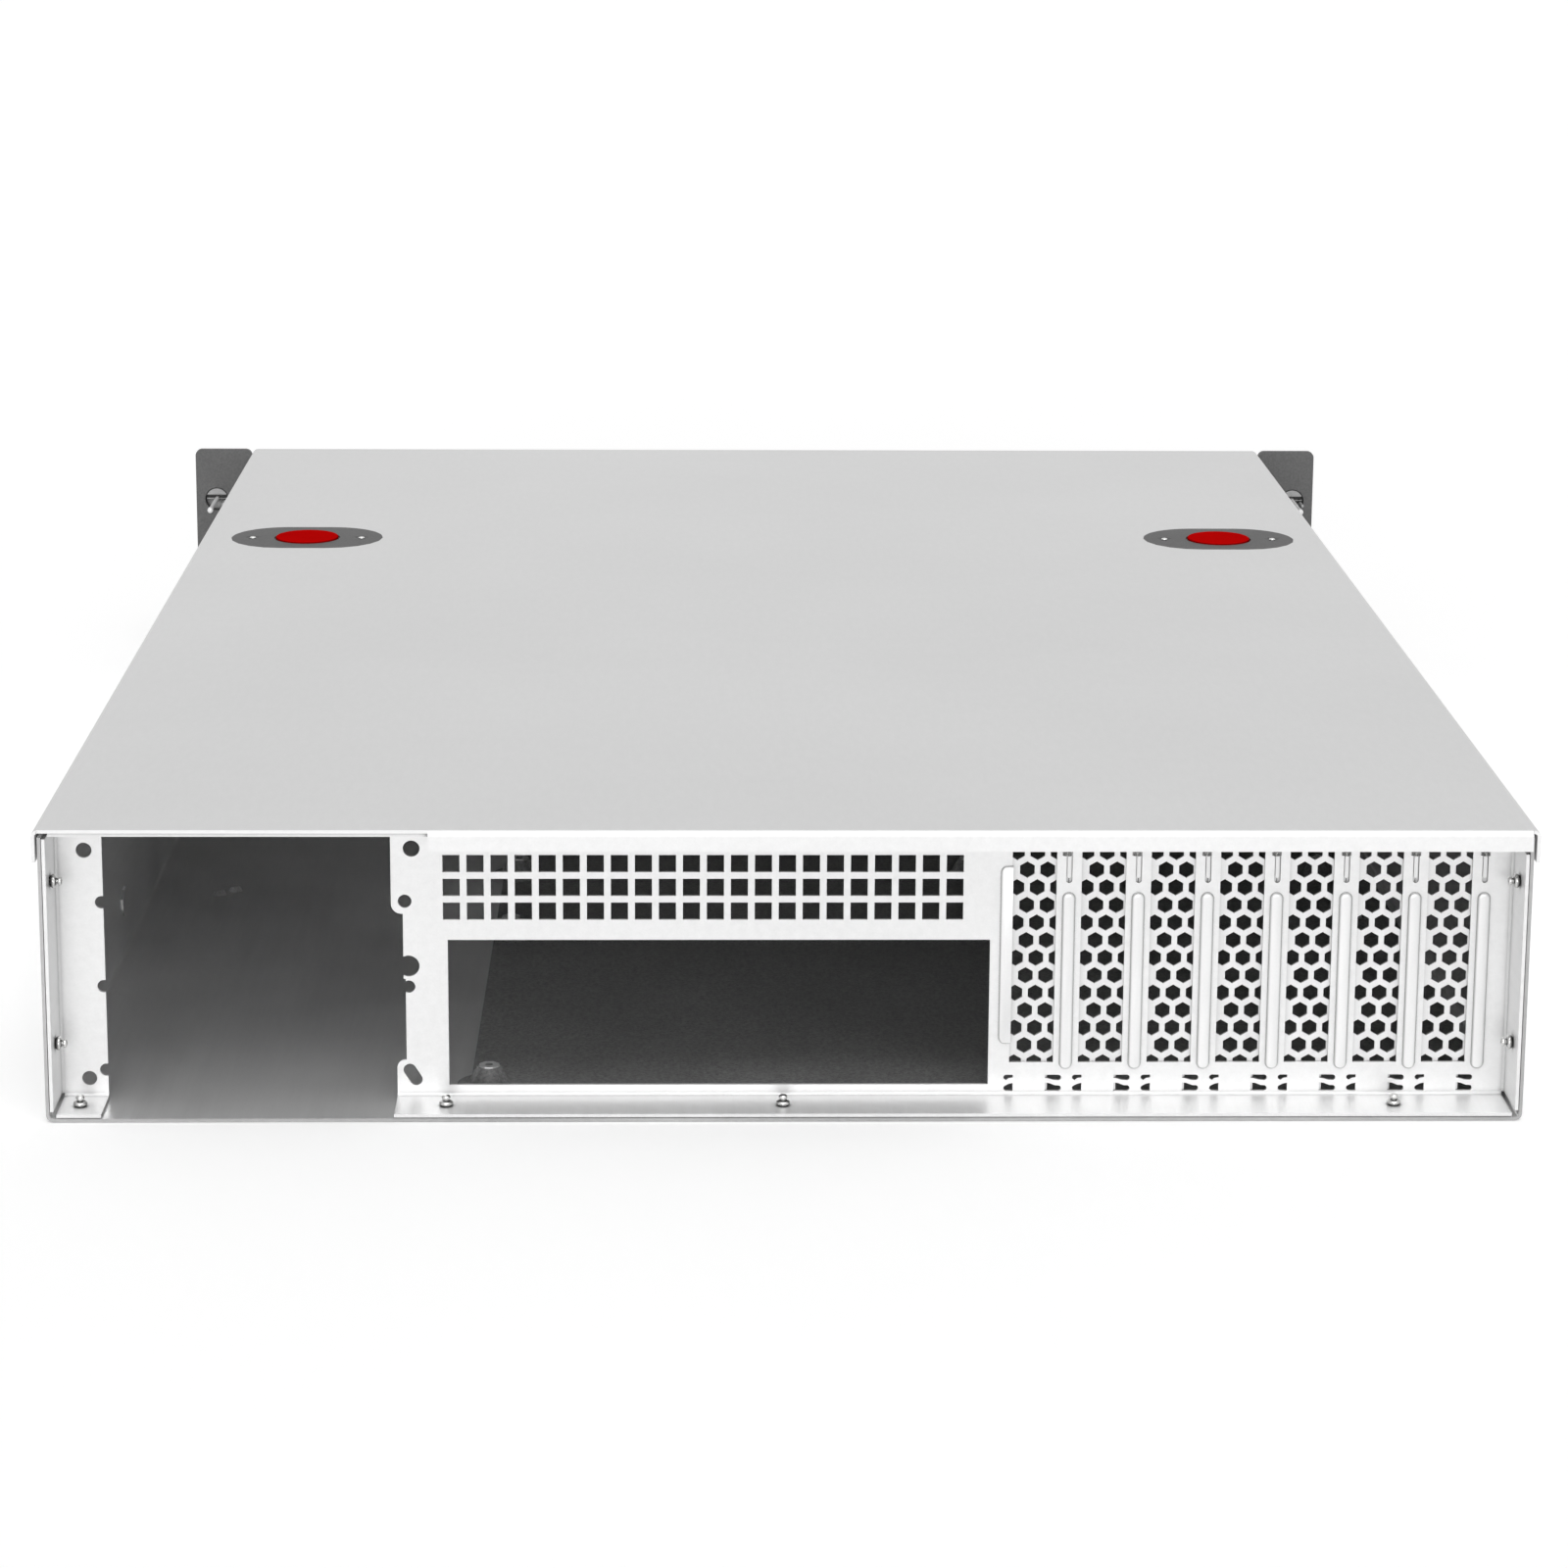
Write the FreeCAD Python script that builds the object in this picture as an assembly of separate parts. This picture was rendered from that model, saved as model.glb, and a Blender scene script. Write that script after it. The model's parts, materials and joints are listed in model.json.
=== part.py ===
import FreeCAD, Part
import math
import os

# Empty 2U rackmount server case, in millimetres.
# The front faces -Y, the rear faces +Y, left and right are those of someone who faces the front.
# The origin is at the middle of the underside.

V = FreeCAD.Vector

# ---------------------------------------------------------------- driving dimensions
SHEET = 1.0                     # steel sheet of the tray, panels and cover
BEND = 0.8                      # inside radius of the folds
ARC_FACETS = 3                  # flats that make up a fold or a rounded corner
FIT_GAP = 0.2                   # assembly gap between folded parts

BODY_WIDTH = 430.0              # outside of the two side walls
CASE_HEIGHT = 88.0              # underside to the skin of the cover, for a 2U space of 88.9
RACK_WIDTH = 482.6              # 19 inch front, over both ears
RACK_HOLE_SPACING = 465.1       # between the two columns of rack holes
RACK_UNIT = 44.45
CASE_DEPTH = 620.0              # back of the ears to the rear edge
EAR_SHEET = 2.0
THUMB_HEAD_LENGTH = 9.0
THUMB_HEAD_GAP = 0.5

TOTAL_DEPTH = CASE_DEPTH + EAR_SHEET + THUMB_HEAD_GAP + THUMB_HEAD_LENGTH
Y_REAR = TOTAL_DEPTH / 2
Y_EAR_BACK = Y_REAR - CASE_DEPTH
Y_FRONT = Y_EAR_BACK - EAR_SHEET
HALF_WIDTH = BODY_WIDTH / 2
WALL_INSIDE = HALF_WIDTH - SHEET

COVER_TOP = CASE_HEIGHT
COVER_UNDERSIDE = COVER_TOP - SHEET
COVER_SIDE_GAP = 0.5
SKIRT_HEIGHT = 9.5
COVER_TRAVEL = 16.0             # the cover slides back by this much before it lifts off
WALL_TOP = COVER_UNDERSIDE - 1.5

REAR_SETBACK = 1.2              # the tray ends this far inside the cover's rear flange
TRAY_REAR = Y_REAR - REAR_SETBACK
PANEL_RECESS = 18.5             # the rear panel stands this far inside the rear edge
FLANGE_REACH = PANEL_RECESS - REAR_SETBACK - 0.1
PANEL_TOP = COVER_UNDERSIDE - FIT_GAP
SHELF_TOP = 82.3                # the brackets of expansion cards are screwed down on this shelf

SLOT_PITCH = 20.32              # expansion slots
SLOT_COUNT = 7
SLOT_MIDDLE_X = -133.3          # centre of the fourth slot window
SLOT_WINDOW_WIDTH = 12.5
SLOT_WINDOW_BOTTOM = 13.0
SLOT_RIB_OFFSET = -10.16        # from a slot window's centre to the rib beside it

IO_RIGHT_X = 99.1               # rear aperture of the mainboard, 158.75 by 44.45
IO_WIDTH = 158.75
IO_HEIGHT = 44.45
IO_BOTTOM = 5.4

PSU_OUTER_X = 199.1             # opening for the power supply, open down to the floor
PSU_INNER_X = 115.5
PSU_TOP = 84.4
PSU_HOLES = (                   # x, z and radius of the screw holes and notches round it
    (204.3, 77.0, 2.3), (109.4, 77.5, 2.45), (204.6, 7.6, 2.2), (111.5, 61.6, 2.0),
    (110.6, 41.9, 3.2), (110.6, 35.6, 1.9), (199.6, 61.3, 1.9), (199.6, 35.8, 1.9), (199.6, 10.2, 1.9),
)
PSU_HOLE_SIDES = 12
PSU_SLOT_X = 109.7              # slanted slot below the opening's inner edge
PSU_SLOT_Z = 8.6
PSU_SLOT_LENGTH = 7.2
PSU_SLOT_WIDTH = 3.8
PSU_SLOT_TILT = 58.0            # degrees from level

BOARD_COLUMNS = (88.0, -69.48, -193.94)   # mainboard screws: 157.48 and 124.46 apart
BOARD_ROWS = (31.6, 186.54, 258.93)       # back from the rear edge: 154.94 and 72.39 apart
BOARD_SCREW_RADIUS = 1.25                 # tapping hole for M3

LATCH_X = 176.0
LATCH_FROM_REAR = 427.0
BUTTON_RADIUS = 12.0
BUTTON_TRAVEL = 2.5

# ---------------------------------------------------------------- planes and outlines


def on_xy(z):
    return lambda a, b: V(a, b, z)


def on_xz(y):
    return lambda a, b: V(a, y, b)


def on_yz(x):
    return lambda a, b: V(x, a, b)


def direction(start, end):
    length = math.hypot(end[0] - start[0], end[1] - start[1])
    return ((end[0] - start[0]) / length, (end[1] - start[1]) / length)


def rounded_wire(points, radii, place):
    """Closed wire through 2-D points, each corner rounded to its own radius by a few flats."""
    count = len(points)
    outline = []
    for i in range(count):
        corner = points[i]
        back = direction(corner, points[i - 1])
        ahead = direction(corner, points[(i + 1) % count])
        if radii[i] == 0:
            outline.append(corner)
            continue
        opening = math.acos(back[0] * ahead[0] + back[1] * ahead[1])
        cut = radii[i] / math.tan(opening / 2)
        reach = radii[i] / math.sin(opening / 2)
        middle = direction((0, 0), (back[0] + ahead[0], back[1] + ahead[1]))
        start = (corner[0] + back[0] * cut, corner[1] + back[1] * cut)
        end = (corner[0] + ahead[0] * cut, corner[1] + ahead[1] * cut)
        hub = (corner[0] + middle[0] * reach, corner[1] + middle[1] * reach)
        first = math.atan2(start[1] - hub[1], start[0] - hub[0])
        last = math.atan2(end[1] - hub[1], end[0] - hub[0])
        sweep = (last - first + math.pi) % (2 * math.pi) - math.pi
        outline.append(start)
        for k in range(1, ARC_FACETS):
            turn = first + sweep * k / ARC_FACETS
            outline.append((hub[0] + radii[i] * math.cos(turn), hub[1] + radii[i] * math.sin(turn)))
        outline.append(end)
    vectors = []
    for point in outline:
        vector = place(*point)
        if not vectors or vector.distanceToPoint(vectors[-1]) > 1e-6:
            vectors.append(vector)
    if vectors[0].distanceToPoint(vectors[-1]) < 1e-6:
        vectors.pop()
    return Part.makePolygon(vectors + vectors[:1])


def polygon(points, place):
    return rounded_wire(points, [0] * len(points), place)


def rectangle(a0, a1, b0, b1, place, radius=0):
    return rounded_wire([(a0, b0), (a1, b0), (a1, b1), (a0, b1)], [radius] * 4, place)


def hexagon(a, b, across_flats, place):
    """Regular hexagon with a point at its top."""
    reach = across_flats / math.sqrt(3)
    points = []
    for i in range(6):
        turn = math.radians(60 * i + 30)
        points.append((a + reach * math.cos(turn), b + reach * math.sin(turn)))
    return polygon(points, place)


def plate(outline, holes, thickness):
    """Flat sheet with holes; thickness is the extrusion vector."""
    face = Part.makeFace([outline] + holes, "Part::FaceMakerBullseye")
    return face.extrude(thickness)


def solid_between(outline, thickness):
    return Part.Face(outline).extrude(thickness)


def box(x0, x1, y0, y1, z0, z1):
    return Part.makeBox(x1 - x0, y1 - y0, z1 - z0, V(x0, y0, z0))


def rod(radius, start, end):
    return Part.makeCylinder(radius, (end - start).Length, start, end - start)


def faceted(profile, centre, axis, sides):
    """Small round thing with flat sides: profile points are (radius, distance along axis)."""
    rings = []
    for radius, height in profile:
        ring = []
        for k in range(sides):
            turn = math.radians(360 * (k + 0.5) / sides)
            ring.append(V(radius * math.cos(turn), radius * math.sin(turn), height))
        rings.append(ring)
    faces = []
    for i in range(len(profile)):
        following = (i + 1) % len(profile)
        start = rings[i]
        end = rings[following]
        if profile[i][0] == 0 and profile[following][0] == 0:
            continue
        if profile[i][0] == 0 or profile[following][0] == 0:
            ring = end if profile[i][0] == 0 else start
            faces.append(Part.Face(Part.makePolygon(ring + ring[:1])))
            continue
        for k in range(sides):
            n = (k + 1) % sides
            faces.append(Part.Face(Part.makePolygon([start[k], start[n], end[n], end[k], start[k]])))
    shell = Part.makeShell(faces)
    shell.sewShape()
    body = Part.makeSolid(shell.Shells[0])
    if body.Volume < 0:
        body.reverse()
    body = body.removeSplitter()
    body.Placement = FreeCAD.Placement(centre, FreeCAD.Rotation(V(0, 0, 1), axis))
    return body


def prism(radius, start, end, sides):
    length = (end - start).Length
    return faceted([(0, 0), (radius, 0), (radius, length), (0, length)], start, end - start, sides)


def regular_polygon(a, b, radius, sides, place):
    points = []
    for k in range(sides):
        turn = math.radians(360 * (k + 0.5) / sides)
        points.append((a + radius * math.cos(turn), b + radius * math.sin(turn)))
    return polygon(points, place)


def sheet_section(path, thickness, place, inside=BEND):
    """Face of a folded sheet: path is one surface, and the sheet lies to its left.

    With inside=None the folds are sharp.
    """
    offset = []
    path_radii = []
    offset_radii = []
    last = len(path) - 1
    for i in range(last + 1):
        if i == 0:
            ahead = direction(path[0], path[1])
            offset.append((path[0][0] - ahead[1] * thickness, path[0][1] + ahead[0] * thickness))
            path_radii.append(0)
            offset_radii.append(0)
            continue
        back = direction(path[i - 1], path[i])
        if i == last:
            offset.append((path[i][0] - back[1] * thickness, path[i][1] + back[0] * thickness))
            path_radii.append(0)
            offset_radii.append(0)
            continue
        ahead = direction(path[i], path[i + 1])
        turn = back[0] * ahead[1] - back[1] * ahead[0]
        share = 1 + back[0] * ahead[0] + back[1] * ahead[1]
        shift_a = -(back[1] + ahead[1]) / share * thickness
        shift_b = (back[0] + ahead[0]) / share * thickness
        offset.append((path[i][0] + shift_a, path[i][1] + shift_b))
        if inside is None:
            path_radii.append(0)
            offset_radii.append(0)
            continue
        path_radii.append(inside + thickness if turn > 0 else inside)
        offset_radii.append(inside if turn > 0 else inside + thickness)
    points = path + offset[::-1]
    radii = path_radii + offset_radii[::-1]
    return Part.Face(rounded_wire(points, radii, place))


def fuse_all(shapes):
    return shapes[0].multiFuse(shapes[1:]).removeSplitter()


def as_solid(shape):
    return shape.Solids[0] if len(shape.Solids) == 1 else shape


def group(shapes):
    return Part.makeCompound([as_solid(shape) for shape in shapes])


def mirrored(shape):
    return shape.mirror(V(0, 0, 0), V(1, 0, 0))


def export(name, shape):
    shape = as_solid(shape)
    if not shape.isValid():
        raise ValueError(name + " is not a valid shape")
    shape.exportStep("parts/" + name + ".step")


# ---------------------------------------------------------------- fasteners
RIVET_SHANK = 1.6
RIVET_BULB = 2.3
RIVET_BULB_HEIGHT = 3.6
RIVET_HEAD = 2.8
FASTENER_SIDES = 6              # small fasteners are drawn with flat sides
FLANGE_RIVET_DEPTH = 9.0        # from the rear edge
FLOOR_RIVET_X = (206.1, 99.5, 1.0, -178.5)
WALL_RIVET_Z = (70.5, 21.5)


def blind_rivet(centre, axis, grip):
    """Blind rivet with a flush head; its bulb stands on the far side of the joined sheets."""
    bulb_top = grip + RIVET_BULB_HEIGHT
    profile = [
        (0, 0), (RIVET_HEAD, 0), (RIVET_SHANK, SHEET), (RIVET_SHANK, grip), (RIVET_BULB, grip),
        (RIVET_BULB, bulb_top), (0, bulb_top),
    ]
    return faceted(profile, centre, axis, FASTENER_SIDES)


def rivet_hole(centre, axis, grip):
    """The countersunk hole that the rivet fills."""
    profile = [(0, 0), (RIVET_HEAD, 0), (RIVET_SHANK, SHEET), (RIVET_SHANK, grip), (0, grip)]
    return faceted(profile, centre, axis, FASTENER_SIDES)


def rear_rivet_places():
    places = []
    y = Y_REAR - FLANGE_RIVET_DEPTH
    for x in FLOOR_RIVET_X:
        places.append((V(x, y, 0), V(0, 0, 1), 2 * SHEET))
    for z in WALL_RIVET_Z:
        places.append((V(HALF_WIDTH, y, z), V(-1, 0, 0), 2 * SHEET + FIT_GAP))
        places.append((V(-HALF_WIDTH, y, z), V(1, 0, 0), 2 * SHEET + FIT_GAP))
    return places


# ---------------------------------------------------------------- cross brace under the cover
BRACE_TOP = 84.8
BRACE_FRONT = Y_REAR - LATCH_FROM_REAR - 46.0
BRACE_BACK = Y_REAR - LATCH_FROM_REAR - 17.0
BRACE_DEPTH = 12.0
BRACE_TAB_DEPTH = 20.0

# ---------------------------------------------------------------- base tray
STANDOFF_BASE = 6.0
STANDOFF_TOP = 3.1
STANDOFF_HEIGHT = 6.35
WALL_DIMPLE_RADIUS = 4.8
WALL_DIMPLE_DEPTH = 0.6
WALL_DIMPLE_FROM_REAR = 166.0
WALL_DIMPLE_Z = 18.5
FLOOR_BUMPS = ((190.3, 234.6), (185.4, 239.4))
FLOOR_BUMP_RADIUS = 2.4
FLOOR_BUMP_HEIGHT = 1.4
BOSS_SIDES = 8

COVER_PIN_RADIUS = 1.5
COVER_PIN_Z = 82.5
COVER_PIN_DEPTHS = (70.0, 300.0, 540.0)
PIN_SLOT_PLAY = 0.3

EAR_SCREW_DEPTH = 12.0          # back from the ear
EAR_SCREW_Z = (16.0, 62.0)
EAR_SCREW_RADIUS = 2.0
EAR_SCREW_HEAD = 3.8
EAR_SCREW_LENGTH = 5.5


def ear_screw_places():
    return [(Y_EAR_BACK + EAR_SCREW_DEPTH, z) for z in EAR_SCREW_Z]


def ear_screw(y, z, side):
    """Countersunk screw through an ear, the side wall and the front panel's flange."""
    profile = [
        (0, 0), (EAR_SCREW_HEAD, 0), (EAR_SCREW_RADIUS, EAR_SCREW_HEAD - EAR_SCREW_RADIUS),
        (EAR_SCREW_RADIUS, EAR_SCREW_LENGTH), (0, EAR_SCREW_LENGTH),
    ]
    return faceted(profile, V(side * (HALF_WIDTH + EAR_SHEET), y, z), V(-side, 0, 0), FASTENER_SIDES)


def pin_slot(depth):
    """L-shaped slot in a wall's top edge: the cover's pin drops in and slides forward."""
    y = Y_REAR - depth
    reach = COVER_PIN_RADIUS + PIN_SLOT_PLAY
    top = WALL_TOP + 1.0
    points = [
        (y - reach, COVER_PIN_Z - reach), (y + COVER_TRAVEL + reach, COVER_PIN_Z - reach),
        (y + COVER_TRAVEL + reach, top), (y + COVER_TRAVEL - reach, top),
        (y + COVER_TRAVEL - reach, COVER_PIN_Z + reach), (y - reach, COVER_PIN_Z + reach),
    ]
    return solid_between(polygon(points, on_yz(-HALF_WIDTH - 1)), V(BODY_WIDTH + 2, 0, 0))


def standoff(x, y, corner):
    """Drawn boss in the tray floor with a tapped hole at its top; the corner ones are truly round."""
    top = SHEET + STANDOFF_HEIGHT
    skin = SHEET * 0.8              # the sheet thins as the boss is drawn
    profile = [
        (0, top), (STANDOFF_TOP, top), (STANDOFF_BASE, SHEET), (STANDOFF_BASE, 0),
        (STANDOFF_BASE - skin, 0), (STANDOFF_TOP - skin, top - SHEET), (0, top - SHEET),
    ]
    boss = faceted(profile, V(x, y, 0), V(0, 0, 1), BOSS_SIDES)
    if corner:
        return boss.cut(rod(BOARD_SCREW_RADIUS, V(x, y, SHEET), V(x, y, top + 1)))
    return boss.cut(prism(BOARD_SCREW_RADIUS, V(x, y, SHEET), V(x, y, top + 1), FASTENER_SIDES))


def base_tray():
    corner = HALF_WIDTH
    path = [(-corner, WALL_TOP), (-corner, 0), (corner, 0), (corner, WALL_TOP)]
    section = sheet_section(path, SHEET, on_xz(Y_FRONT), inside=1.0)
    tray = section.extrude(V(0, TRAY_REAR - Y_FRONT, 0))
    cutters = [pin_slot(depth) for depth in COVER_PIN_DEPTHS]
    for centre, axis, grip in rear_rivet_places():
        cutters.append(rivet_hole(centre, axis, grip))
    for side in (1, -1):
        for y, z in ear_screw_places():
            cutters.append(ear_screw(y, z, side))
    dimple_y = Y_REAR - WALL_DIMPLE_FROM_REAR
    dimple_start = V(HALF_WIDTH - WALL_DIMPLE_DEPTH, dimple_y, WALL_DIMPLE_Z)
    dimple_end = V(HALF_WIDTH + 1, dimple_y, WALL_DIMPLE_Z)
    cutters.append(prism(WALL_DIMPLE_RADIUS - 0.5, dimple_start, dimple_end, BOSS_SIDES))
    bosses = []
    for x in BOARD_COLUMNS:
        for row in BOARD_ROWS:
            y = Y_REAR - row
            cutters.append(prism(STANDOFF_BASE, V(x, y, -1), V(x, y, SHEET + 1), BOSS_SIDES))
            corner = x in BOARD_COLUMNS[::2] and row in BOARD_ROWS[::2]
            bosses.append(standoff(x, y, corner))
    tray = tray.cut(cutters)
    boss_start = V(WALL_INSIDE - WALL_DIMPLE_DEPTH, dimple_y, WALL_DIMPLE_Z)
    boss_end = V(WALL_INSIDE, dimple_y, WALL_DIMPLE_Z)
    bosses.append(prism(WALL_DIMPLE_RADIUS, boss_start, boss_end, BOSS_SIDES))
    for x, depth in FLOOR_BUMPS:
        profile = [(0, 0.5), (FLOOR_BUMP_RADIUS, 0.5), (FLOOR_BUMP_RADIUS, SHEET)]
        profile += [(FLOOR_BUMP_RADIUS * 0.55, SHEET + FLOOR_BUMP_HEIGHT), (0, SHEET + FLOOR_BUMP_HEIGHT)]
        bosses.append(faceted(profile, V(x, Y_REAR - depth, 0), V(0, 0, 1), BOSS_SIDES))
    return fuse_all([tray] + bosses)


FILM_THICKNESS = 0.3
FILM_SIDE_X = 93.5
FILM_LENGTH = 330.0
FILM_HOLE_PLAY = 0.6


def insulation_film():
    y_back = Y_REAR - PANEL_RECESS - SHEET - 1.5
    film = box(-WALL_INSIDE + 3.0, FILM_SIDE_X, y_back - FILM_LENGTH, y_back, SHEET, SHEET + FILM_THICKNESS)
    holes = []
    for x in BOARD_COLUMNS:
        for row in BOARD_ROWS:
            y = Y_REAR - row
            reach = STANDOFF_BASE + FILM_HOLE_PLAY
            holes.append(box(x - reach, x + reach, y - reach, y + reach, 0, 3))
    return film.cut(holes)


# ---------------------------------------------------------------- rear panel
VENT_COLUMNS = 22
VENT_ROWS = 4
VENT_PITCH = 7.0
VENT_SIZE = 5.0
VENT_RIGHT_X = IO_RIGHT_X + 1.3
VENT_BOTTOM = 55.8

RIB_WIDTH = 3.8
RIB_BOTTOM = 10.2
RIB_TOP = 64.3
RIB_RISE = 0.8
SLIT_WIDTH = 1.6
SLIT_BOTTOM = 67.0
SLIT_TOP = SHELF_TOP - 3.0
EDGE_RIB_X = -64.1
EDGE_RIB_BOTTOM = 18.0
EDGE_RIB_TOP = 72.3

LANCE_BOTTOM = 3.9
LANCE_HEIGHT = 4.7
LANCE_INNER = 5.0               # from the slot's centre to the openings of the lanced bridge
LANCE_WIDE = 4.4
LANCE_NARROW = 2.3
BRIDGE_STANDOFF = 1.15          # room behind the panel for a bracket's tongue

PANEL_Y = Y_REAR - PANEL_RECESS            # rear face of the panel
PANEL_BACK_Y = PANEL_Y - SHEET
ZONE_SPLIT_X = -61.5            # the top flange steps down here to the bracket shelf


def slot_centre(index):
    return SLOT_MIDDLE_X - (index - 3) * SLOT_PITCH


def lance_opening(x_near, x_far, tab, place):
    """Opening beside a lanced bridge, with a pointed tab on its outer side."""
    z0 = LANCE_BOTTOM
    z1 = LANCE_BOTTOM + LANCE_HEIGHT
    reach = tab if x_near > x_far else -tab
    points = [(x_near, z0), (x_far, z0), (x_far + reach, (z0 + z1) / 2), (x_far, z1), (x_near, z1)]
    return polygon(points, place)


def psu_cutter():
    """Opening for a power supply: plain outer edge, stepped inner edge, mounting holes and notches."""
    step_x = PSU_INNER_X - 3.4
    lower_x = PSU_INNER_X - 4.0
    foot_x = PSU_INNER_X - 1.2
    points = [
        (PSU_OUTER_X, -1.0), (PSU_OUTER_X, PSU_TOP), (PSU_INNER_X, PSU_TOP), (PSU_INNER_X, 57.8),
        (step_x, 57.8), (step_x, 38.0), (lower_x, 38.0), (lower_x, 13.2), (foot_x, 13.2), (foot_x, -1.0),
    ]
    radii = [0, 0, 0, 3.0, 0, 0, 0, 0, 2.5, 0]
    start = PANEL_BACK_Y - 1
    reach = V(0, SHEET + 2, 0)
    opening = solid_between(rounded_wire(points, radii, on_xz(start)), reach)
    parts = [opening]
    for x, z, radius in PSU_HOLES:
        parts.append(prism(radius, V(x, start, z), V(x, start, z) + reach, PSU_HOLE_SIDES))
    half_length = PSU_SLOT_LENGTH / 2
    half_width = PSU_SLOT_WIDTH / 2
    slot = rectangle(
        -half_length, half_length, -half_width, half_width, on_xz(start), half_width - 0.001
    )
    slot.rotate(V(0, 0, 0), V(0, 1, 0), -PSU_SLOT_TILT)
    slot.translate(V(PSU_SLOT_X, 0, PSU_SLOT_Z))
    parts.append(solid_between(slot, reach))
    return parts


def rounded_bar(x, bottom, top, half, place):
    """Upright outline whose half-round ends are drawn with three flats each."""
    cut = half * 0.5
    return polygon(
        [
            (x - half, bottom + half), (x - cut, bottom), (x + cut, bottom), (x + half, bottom + half),
            (x + half, top - half), (x + cut, top), (x - cut, top), (x - half, top - half),
        ],
        place,
    )


def embossed_rib(x, bottom, top, width):
    """Raised rib with a flat crown and sloping sides."""
    place_base = on_xz(PANEL_Y - 0.2)
    place_crown = on_xz(PANEL_Y + RIB_RISE)
    half = width / 2
    inset = 0.75
    base = rounded_bar(x, bottom, top, half, place_base)
    crown = rounded_bar(x, bottom + inset, top - inset, half - inset, place_crown)
    return Part.makeLoft([base, crown], True, True)


def tongue_bridge(x):
    """Bridge behind the panel that holds the tongue of a bracket."""
    half = LANCE_INNER + LANCE_WIDE + 0.6
    y = PANEL_BACK_Y
    path = [(x - half, y + 0.1), (x - half, y - BRIDGE_STANDOFF - 0.9)]
    path += [(x + half, y - BRIDGE_STANDOFF - 0.9), (x + half, y + 0.1)]
    section = sheet_section(path, 0.9, on_xy(LANCE_BOTTOM + 0.4), inside=None)
    return section.extrude(V(0, 0, LANCE_HEIGHT - 0.8))


def rear_panel_face():
    place = on_xz(PANEL_BACK_Y)
    edge = WALL_INSIDE - FIT_GAP
    fold = BEND + SHEET
    outline = polygon(
        [
            (-edge + fold, SHEET + fold), (edge - fold, SHEET + fold), (edge - fold, PANEL_TOP - fold),
            (ZONE_SPLIT_X, PANEL_TOP - fold), (ZONE_SPLIT_X, SHELF_TOP - fold),
            (-edge + fold, SHELF_TOP - fold),
        ],
        place,
    )
    holes = [rectangle(IO_RIGHT_X - IO_WIDTH, IO_RIGHT_X, IO_BOTTOM, IO_BOTTOM + IO_HEIGHT, place)]
    for column in range(VENT_COLUMNS):
        right = VENT_RIGHT_X - column * VENT_PITCH
        for row in range(VENT_ROWS):
            bottom = VENT_BOTTOM + row * VENT_PITCH
            holes.append(rectangle(right - VENT_SIZE, right, bottom, bottom + VENT_SIZE, place))
    half = SLOT_WINDOW_WIDTH / 2
    for index in range(SLOT_COUNT):
        x = slot_centre(index)
        rib = x + SLOT_RIB_OFFSET
        holes.append(rectangle(x - half, x + half, SLOT_WINDOW_BOTTOM, SLIT_TOP, place))
        holes.append(rectangle(rib - SLIT_WIDTH / 2, rib + SLIT_WIDTH / 2, SLIT_BOTTOM, SLIT_TOP, place))
        left = x + LANCE_INNER + 0.6
        right = x - LANCE_INNER
        holes.append(lance_opening(left, left + LANCE_NARROW, 0.9, place))
        holes.append(lance_opening(right, right - LANCE_WIDE, 2.0, place))
    return plate(outline, holes, V(0, SHEET, 0))


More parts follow.
